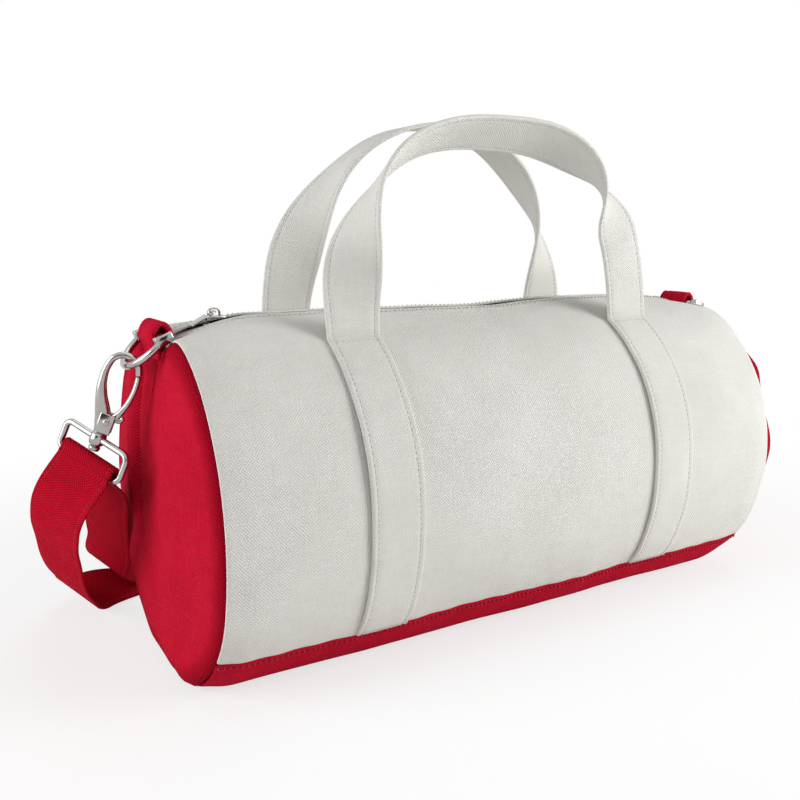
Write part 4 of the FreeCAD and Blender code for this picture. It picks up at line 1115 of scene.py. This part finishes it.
# %% Hooks, gates and bails
def hook_place(name, side):
    """A function from the hook's own millimetres to the world, and its depth direction."""
    bar, _, _, up = bail_axes(name, side)
    depth = Vector(joints[f"{name}_gate_hinge"]["axis"]) * -1
    sideways = depth.cross(up)

    def place(x, y, z):
        return bar + (sideways * x + depth * y + up * z) * MM

    return place, depth


def bail_outline():
    """Points of the bail's rounded rectangle, as across and height."""
    points = []
    corners = ((1, 1, 0), (-1, 1, 90), (-1, 0, 180), (1, 0, 270))
    for across, top, start in corners:
        x = across * (BAIL_HALF - BAIL_CORNER)
        z = BAIL_CORNER + top * (BAIL_HEIGHT - 2 * BAIL_CORNER)
        for degrees in range(start, start + 91, 15):
            turn = math.radians(degrees)
            points.append((x + BAIL_CORNER * math.cos(turn), z + BAIL_CORNER * math.sin(turn)))
    return points


def build_hook(name, side):
    """A hook with its swivel stem, its gate and its bail."""
    place, depth = hook_place(name, side)
    sideways = (place(1, 0, 0) - place(0, 0, 0)).normalized()

    def on_stem(z):
        return place(0, 0, z)

    def on_rivet(y):
        return place(RIVET_SPOT[0], y, RIVET_SPOT[1])

    bm = bmesh.new()
    shaped_bar(bm, f"{name}_arm_line", ARM, place, depth)
    for cheek in CHEEKS:
        block_of(bm, (CHEEK_WIDTH, cheek, CHEEK_HEIGHT), 0.6, place)
    turned_bar(bm, STEM, on_stem, depth)
    turned_bar(bm, RIVET_HEADS, on_rivet, sideways)
    make_piece(f"{name}_hook_cast", bm, [nickel], f"{name}_hook", [f"{name}_hook"])

    bm = bmesh.new()
    shaped_bar(bm, f"{name}_gate_line", GATE, place, depth)
    shaped_bar(bm, f"{name}_lever_line", LEVER, place, depth)
    turned_bar(bm, KNUCKLE, on_rivet, sideways)
    make_piece(f"{name}_gate_lever", bm, [nickel], f"{name}_gate", [f"{name}_gate"])

    bar, across, inward, up = bail_axes(name, side)
    bm = bmesh.new()
    ring = [bar + (across * a + up * b) * MM for a, b in bail_outline()]
    halves = [(BAIL_WIRE, BAIL_WIRE)] * len(ring)
    sweep_bar(bm, flat_bar(ring, halves, inward, closed=True), closed=True)
    turned_bar(bm, BOSS, on_stem, inward, corners=20)
    make_piece(f"{name}_bail_ring", bm, [nickel], f"{name}_bail", [f"{name}_bail"])


for name, side in ENDS:
    build_hook(name, side)

# %% [markdown]
# ## D-rings
# A D-ring is one bent wire with a straight bar inside the tab. Where the bow meets the bar the casting
# is squared off into two shoulders.

# %% D-rings
RING_HALF = 18.5
RING_LEG = 4.7
RING_HANG = math.radians(42)
SHOULDER_HANG = math.radians(22)
SHOULDER_HALF = 2.7
SHOULDER_LENGTH = (-3.4, 6.6)
SHOULDER_THICK = (-2.8, 2.8)


def build_dring(name, side):
    """A D-ring hanging from its tab."""
    bar = ring_bar(name, side)
    down = Vector((side * math.cos(RING_HANG), 0, -math.sin(RING_HANG)))
    square = Vector((0, 1, 0)).cross(down)

    def place(x, y, z):
        return bar + (down * x + Vector((0, y, 0)) + square * z) * MM

    outline = [(0, -RING_HALF), (RING_LEG, -RING_HALF)]
    for degrees in range(-75, 76, 15):
        turn = math.radians(degrees)
        outline.append((RING_LEG + RING_HALF * math.cos(turn), RING_HALF * math.sin(turn)))
    outline += [(RING_LEG, RING_HALF), (0, RING_HALF)]
    bm = bmesh.new()
    bow = [place(x, y, 0) for x, y in outline]
    sweep_bar(bm, flat_bar(bow, [(RING_WIRE, RING_WIRE)] * len(bow), square))
    straight = [place(0, y, 0) for y in (-RING_HALF, RING_HALF)]
    sweep_bar(bm, flat_bar(straight, [(RING_WIRE, RING_WIRE)] * 2, square))
    level = Matrix.Rotation(side * (SHOULDER_HANG - RING_HANG), 3, "Y")

    def shoulder_place(x, y, z):
        return bar + level @ (place(x, y, z) - bar)

    for end in (-1, 1):
        across = (end * RING_HALF - SHOULDER_HALF, end * RING_HALF + SHOULDER_HALF)
        block_of(bm, (SHOULDER_LENGTH, across, SHOULDER_THICK), 0.8, shoulder_place)
    make_piece(f"{name}_dring_cast", bm, [nickel], f"{name}_dring", [f"{name}_dring"])


for name, side in ENDS:
    build_dring(name, side)

# %% [markdown]
# ## Slider and pull
# The slider is two plates joined by a post, with a bridge on top. The pull is a flat tongue on a ring
# of wire that passes under the bridge, and it hangs down over the slack end of the zip.

# %% Slider and pull
pin = Vector(joints["zip_pull_hinge"]["pos_m"])
PULL_DROOP = math.radians(27)
PLATE = ((-5.5, 5.5), (-4.5, 4.5))
PLATE_HEIGHTS = ((-3.6, -2.2), (-8.2, -6.8))
POST = ((-5.3, -2.8), (-0.4, 0.4), (-7.2, -3.2))
BRIDGE = ((-3.4, -2.6), (-3.2, 0.2), (-2.2, 1.5), (0, 1.9), (2.2, 1.5), (3.2, 0.2), (3.4, -2.6))
BRIDGE_BAR = (0.55 * MM, 1.4 * MM)
TONGUE = ((-15.5, -4.6), (-3.9, 3.9), (-0.6, 0.6))
PULL_LOOP = ((-5, -2.7), (-0.6, -2.7), (0, -2.1), (0, 2.1), (-0.6, 2.7), (-5, 2.7))
PULL_WIRE = (0.7 * MM, 0.7 * MM)


def slider_place(x, y, z):
    """From millimetres about the pull's pin to the world."""
    return pin + Vector((x, y, z)) * MM


def pull_place(x, y, z):
    """The same for the pull, which hangs down towards its tip."""
    return slider_place(x * math.cos(PULL_DROOP), y, z + x * math.sin(PULL_DROOP))


bm = bmesh.new()
for heights in PLATE_HEIGHTS:
    block_of(bm, (*PLATE, heights), 0.5, slider_place)
block_of(bm, POST, 0.1, slider_place)
bridge = [slider_place(x, 0, z) for x, z in BRIDGE]
sweep_bar(bm, flat_bar(bridge, [BRIDGE_BAR] * len(bridge), Vector((0, 1, 0))))
make_piece("slider_cast", bm, [nickel], "zip_slider", ["zip_slider"])

bm = bmesh.new()
block_of(bm, TONGUE, 0.45, pull_place)
loop = [pull_place(x, y, 0) for x, y in PULL_LOOP]
sweep_bar(bm, flat_bar(loop, [PULL_WIRE] * len(loop), Vector((0, 0, 1))), corners=8)
make_piece("pull_tongue", bm, [nickel], "zip_pull", ["zip_pull"])

# %% [markdown]
# ## Stops and glide
# A clip at each end keeps the slider on the teeth. It lies on the skin, which slopes there. The glide
# on the strap is a frame of three bars and two sides.

# %% Stops and glide
GLIDE_BARS = ((-17, -14), (-1.5, 1.5), (14, 17))
GLIDE_SIDES = ((-23, -20), (20, 23))
GLIDE_LENGTH = (-17, 17)
GLIDE_WIDTH = (-22, 22)
GLIDE_THICK = (-1.25, 1.25)


def glide_place(x, y, z):
    """From millimetres about the glide's middle to the world."""
    return Vector((GLIDE_X, LANE, (glide_low.z + glide_high.z) / 2)) + Vector((x, y, z)) * MM


for name, _ in ENDS:
    low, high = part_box(f"zip_stop_{name}")
    half = (high - low) / 2 / MM
    spot = (low.x + high.x) / 2
    foot = skin(spot, 0, -TOOTH_DEPTH - ZIP_SINK)
    along = (skin(spot + MM, 0) - skin(spot - MM, 0)).normalized()
    up = along.cross(Vector((0, 1, 0)))

    def stop_place(x, y, z):
        """From millimetres about a stop's middle to the world."""
        return foot + (along * x + Vector((0, y, 0)) + up * z) * MM

    bm = bmesh.new()
    block_of(bm, ((-half.x, half.x), (-half.y, half.y), (-half.z, half.z)), 0.5, stop_place)
    make_piece(f"{name}_stop", bm, [nickel], "bag", [f"zip_stop_{name}"])

bm = bmesh.new()
for bar in GLIDE_BARS:
    block_of(bm, (bar, GLIDE_WIDTH, GLIDE_THICK), 0.5, glide_place)
for rail in GLIDE_SIDES:
    block_of(bm, (GLIDE_LENGTH, rail, GLIDE_THICK), 0.5, glide_place)
make_piece("glide_frame", bm, [nickel], "bag", ["strap_glide"])

# %% [markdown]
# ## Camera
# The camera stands where the photograph was taken from: its place, turn and lens were worked out from
# the bag's outline and from the vanishing points of its edges.

# %% Camera
EYE = Vector((-352.4, -495.6, 250.3)) * MM
YAW = 0.5533
PITCH = 0.1876
LENS = 41.98
forward = Vector((math.sin(YAW) * math.cos(PITCH), math.cos(YAW) * math.cos(PITCH), -math.sin(PITCH)))
right = Vector((math.cos(YAW), -math.sin(YAW), 0))
above = right.cross(forward)
camera = bpy.data.objects.new("camera", bpy.data.cameras.new("camera"))
camera.data.lens = LENS
camera.data.sensor_width = 36
camera.data.clip_start = 0.01
camera.matrix_world = Matrix.Translation(EYE) @ Matrix((right, above, -forward)).transposed().to_4x4()
bpy.context.scene.collection.objects.link(camera)
bpy.context.scene.camera = camera
print("camera at", [round(v, 3) for v in EYE], "with a lens of", LENS, "mm")

# %% [markdown]
# ## Floor and light
# A studio for small things is a white floor and large soft lamps. The floor is a dull white that also
# glows, so that it comes out as paper white, in the metal too, while the bag's shadow stays on it. The
# glow shows only on straight paths, so it lights no cloth.

# %% Floor
FLOOR_GLOW = 0.7


def straight_paths(shade):
    """1 on rays that come straight from the camera, off metal or through glass, and 0 on the rest."""
    seen = shade.node("ShaderNodeLightPath", output="Is Camera Ray")
    either = shade.math("MAXIMUM", seen, seen.other("Is Glossy Ray"))
    return shade.math("MAXIMUM", either, seen.other("Is Transmission Ray"))


bm = bmesh.new()
bmesh.ops.create_circle(bm, cap_ends=True, segments=96, radius=4.0)
floor_mesh = bpy.data.meshes.new("studio_floor")
bm.to_mesh(floor_mesh)
bm.free()
studio_floor = bpy.data.objects.new("studio_floor", floor_mesh)
studio_floor.location.z = -0.2 * MM
bpy.context.scene.collection.objects.link(studio_floor)
white, shade, shader = new_finish("studio_white")
shader.inputs["Base Color"].default_value = (0.93, 0.93, 0.93, 1)
shader.inputs["Roughness"].default_value = 1.0
shader.inputs["Specular IOR Level"].default_value = 0.0
place = shade.node("ShaderNodeTexCoord", None, None, output=3)
distance = shade.node("ShaderNodeVectorMath", {"operation": "LENGTH"}, {0: place}, output=1)
far = shade.node("ShaderNodeMapRange", {"interpolation_type": "SMOOTHSTEP"},
                 {"Value": distance, "From Min": 0.3, "From Max": 0.62})
paper = shade.node("ShaderNodeEmission", None, {"Strength": 1.0})
glow = straight_paths(shade) * (FLOOR_GLOW + far * (1 - FLOOR_GLOW))
lit = Shade(shade.tree, shader.outputs[0])
surface = shade.node("ShaderNodeMixShader", None, {0: glow, 1: lit, 2: paper})
shade.tree.links.new(surface.socket, shade.tree.nodes["Material Output"].inputs["Surface"])
floor_mesh.materials.append(white)
print("floor with", len(floor_mesh.vertices), "corners")

# %% [markdown]
# ## World and lamps
# The world is white on the same straight paths and a plain fill for the rest. A large lamp in front to
# the right models the canvas, one beside the left end lights it, and a weak one hangs above. Two black
# cards that the camera doesn't see give the metal something dark to mirror.

# %% World and lamps
WHITE = (1, 1, 1, 1)
BLACK = (0.01, 0.01, 0.01, 1)
world = bpy.data.worlds.new("studio")
bpy.context.scene.world = world
world.use_nodes = True
shade = Shade(world.node_tree)
fill = shade.node("ShaderNodeBackground", None, {"Color": WHITE, "Strength": 0.33})
paper = shade.node("ShaderNodeBackground", None, {"Color": WHITE, "Strength": 1.0})
sky = shade.node("ShaderNodeMixShader", None, {0: straight_paths(shade), 1: fill, 2: paper})
shade.tree.links.new(sky.socket, world.node_tree.nodes["World Output"].inputs["Surface"])
black, shade, shader = new_finish("black_card")
shader.inputs["Base Color"].default_value = BLACK
shader.inputs["Roughness"].default_value = 1.0


def lamp(name, place, target, width, power):
    """A square soft lamp aimed at a point."""
    light = bpy.data.lights.new(name, "AREA")
    light.size = width
    light.energy = power
    holder = bpy.data.objects.new(name, light)
    holder.location = place
    holder.rotation_euler = (Vector(target) - Vector(place)).to_track_quat("-Z", "Y").to_euler()
    bpy.context.scene.collection.objects.link(holder)


def dark_card(name, place, width, height):
    """An upright black card that faces the bag."""
    bm = bmesh.new()
    bmesh.ops.create_grid(bm, x_segments=1, y_segments=1, size=0.5)
    bmesh.ops.scale(bm, vec=(width, height, 1), verts=bm.verts[:])
    facing = Vector((-place[0], -place[1], 0)).to_track_quat("Z", "Y").to_matrix().to_4x4()
    bmesh.ops.transform(bm, matrix=Matrix.Translation(place) @ facing, verts=bm.verts[:])
    mesh = bpy.data.meshes.new(name)
    bm.to_mesh(mesh)
    bm.free()
    mesh.materials.append(black)
    card = bpy.data.objects.new(name, mesh)
    bpy.context.scene.collection.objects.link(card)
    card.visible_camera = False


lamp("key", (0.95, -0.85, 0.52), (0.05, 0, 0.1), width=0.7, power=15.5)
lamp("side", (-1.3, 0.1, 0.5), (-0.2, 0, 0.1), width=0.8, power=11.5)
lamp("top", (0.2, 0.3, 1.6), (0, 0, 0.1), width=1.2, power=4.5)
dark_card("card_left", (-1.3, -1.2, 0.4), width=0.9, height=0.9)
dark_card("card_right", (0.1, -1.7, 0.35), width=0.7, height=0.7)
bpy.context.scene.view_settings.view_transform = "Standard"
print("lamps:", len(bpy.data.lights))

# %% [markdown]
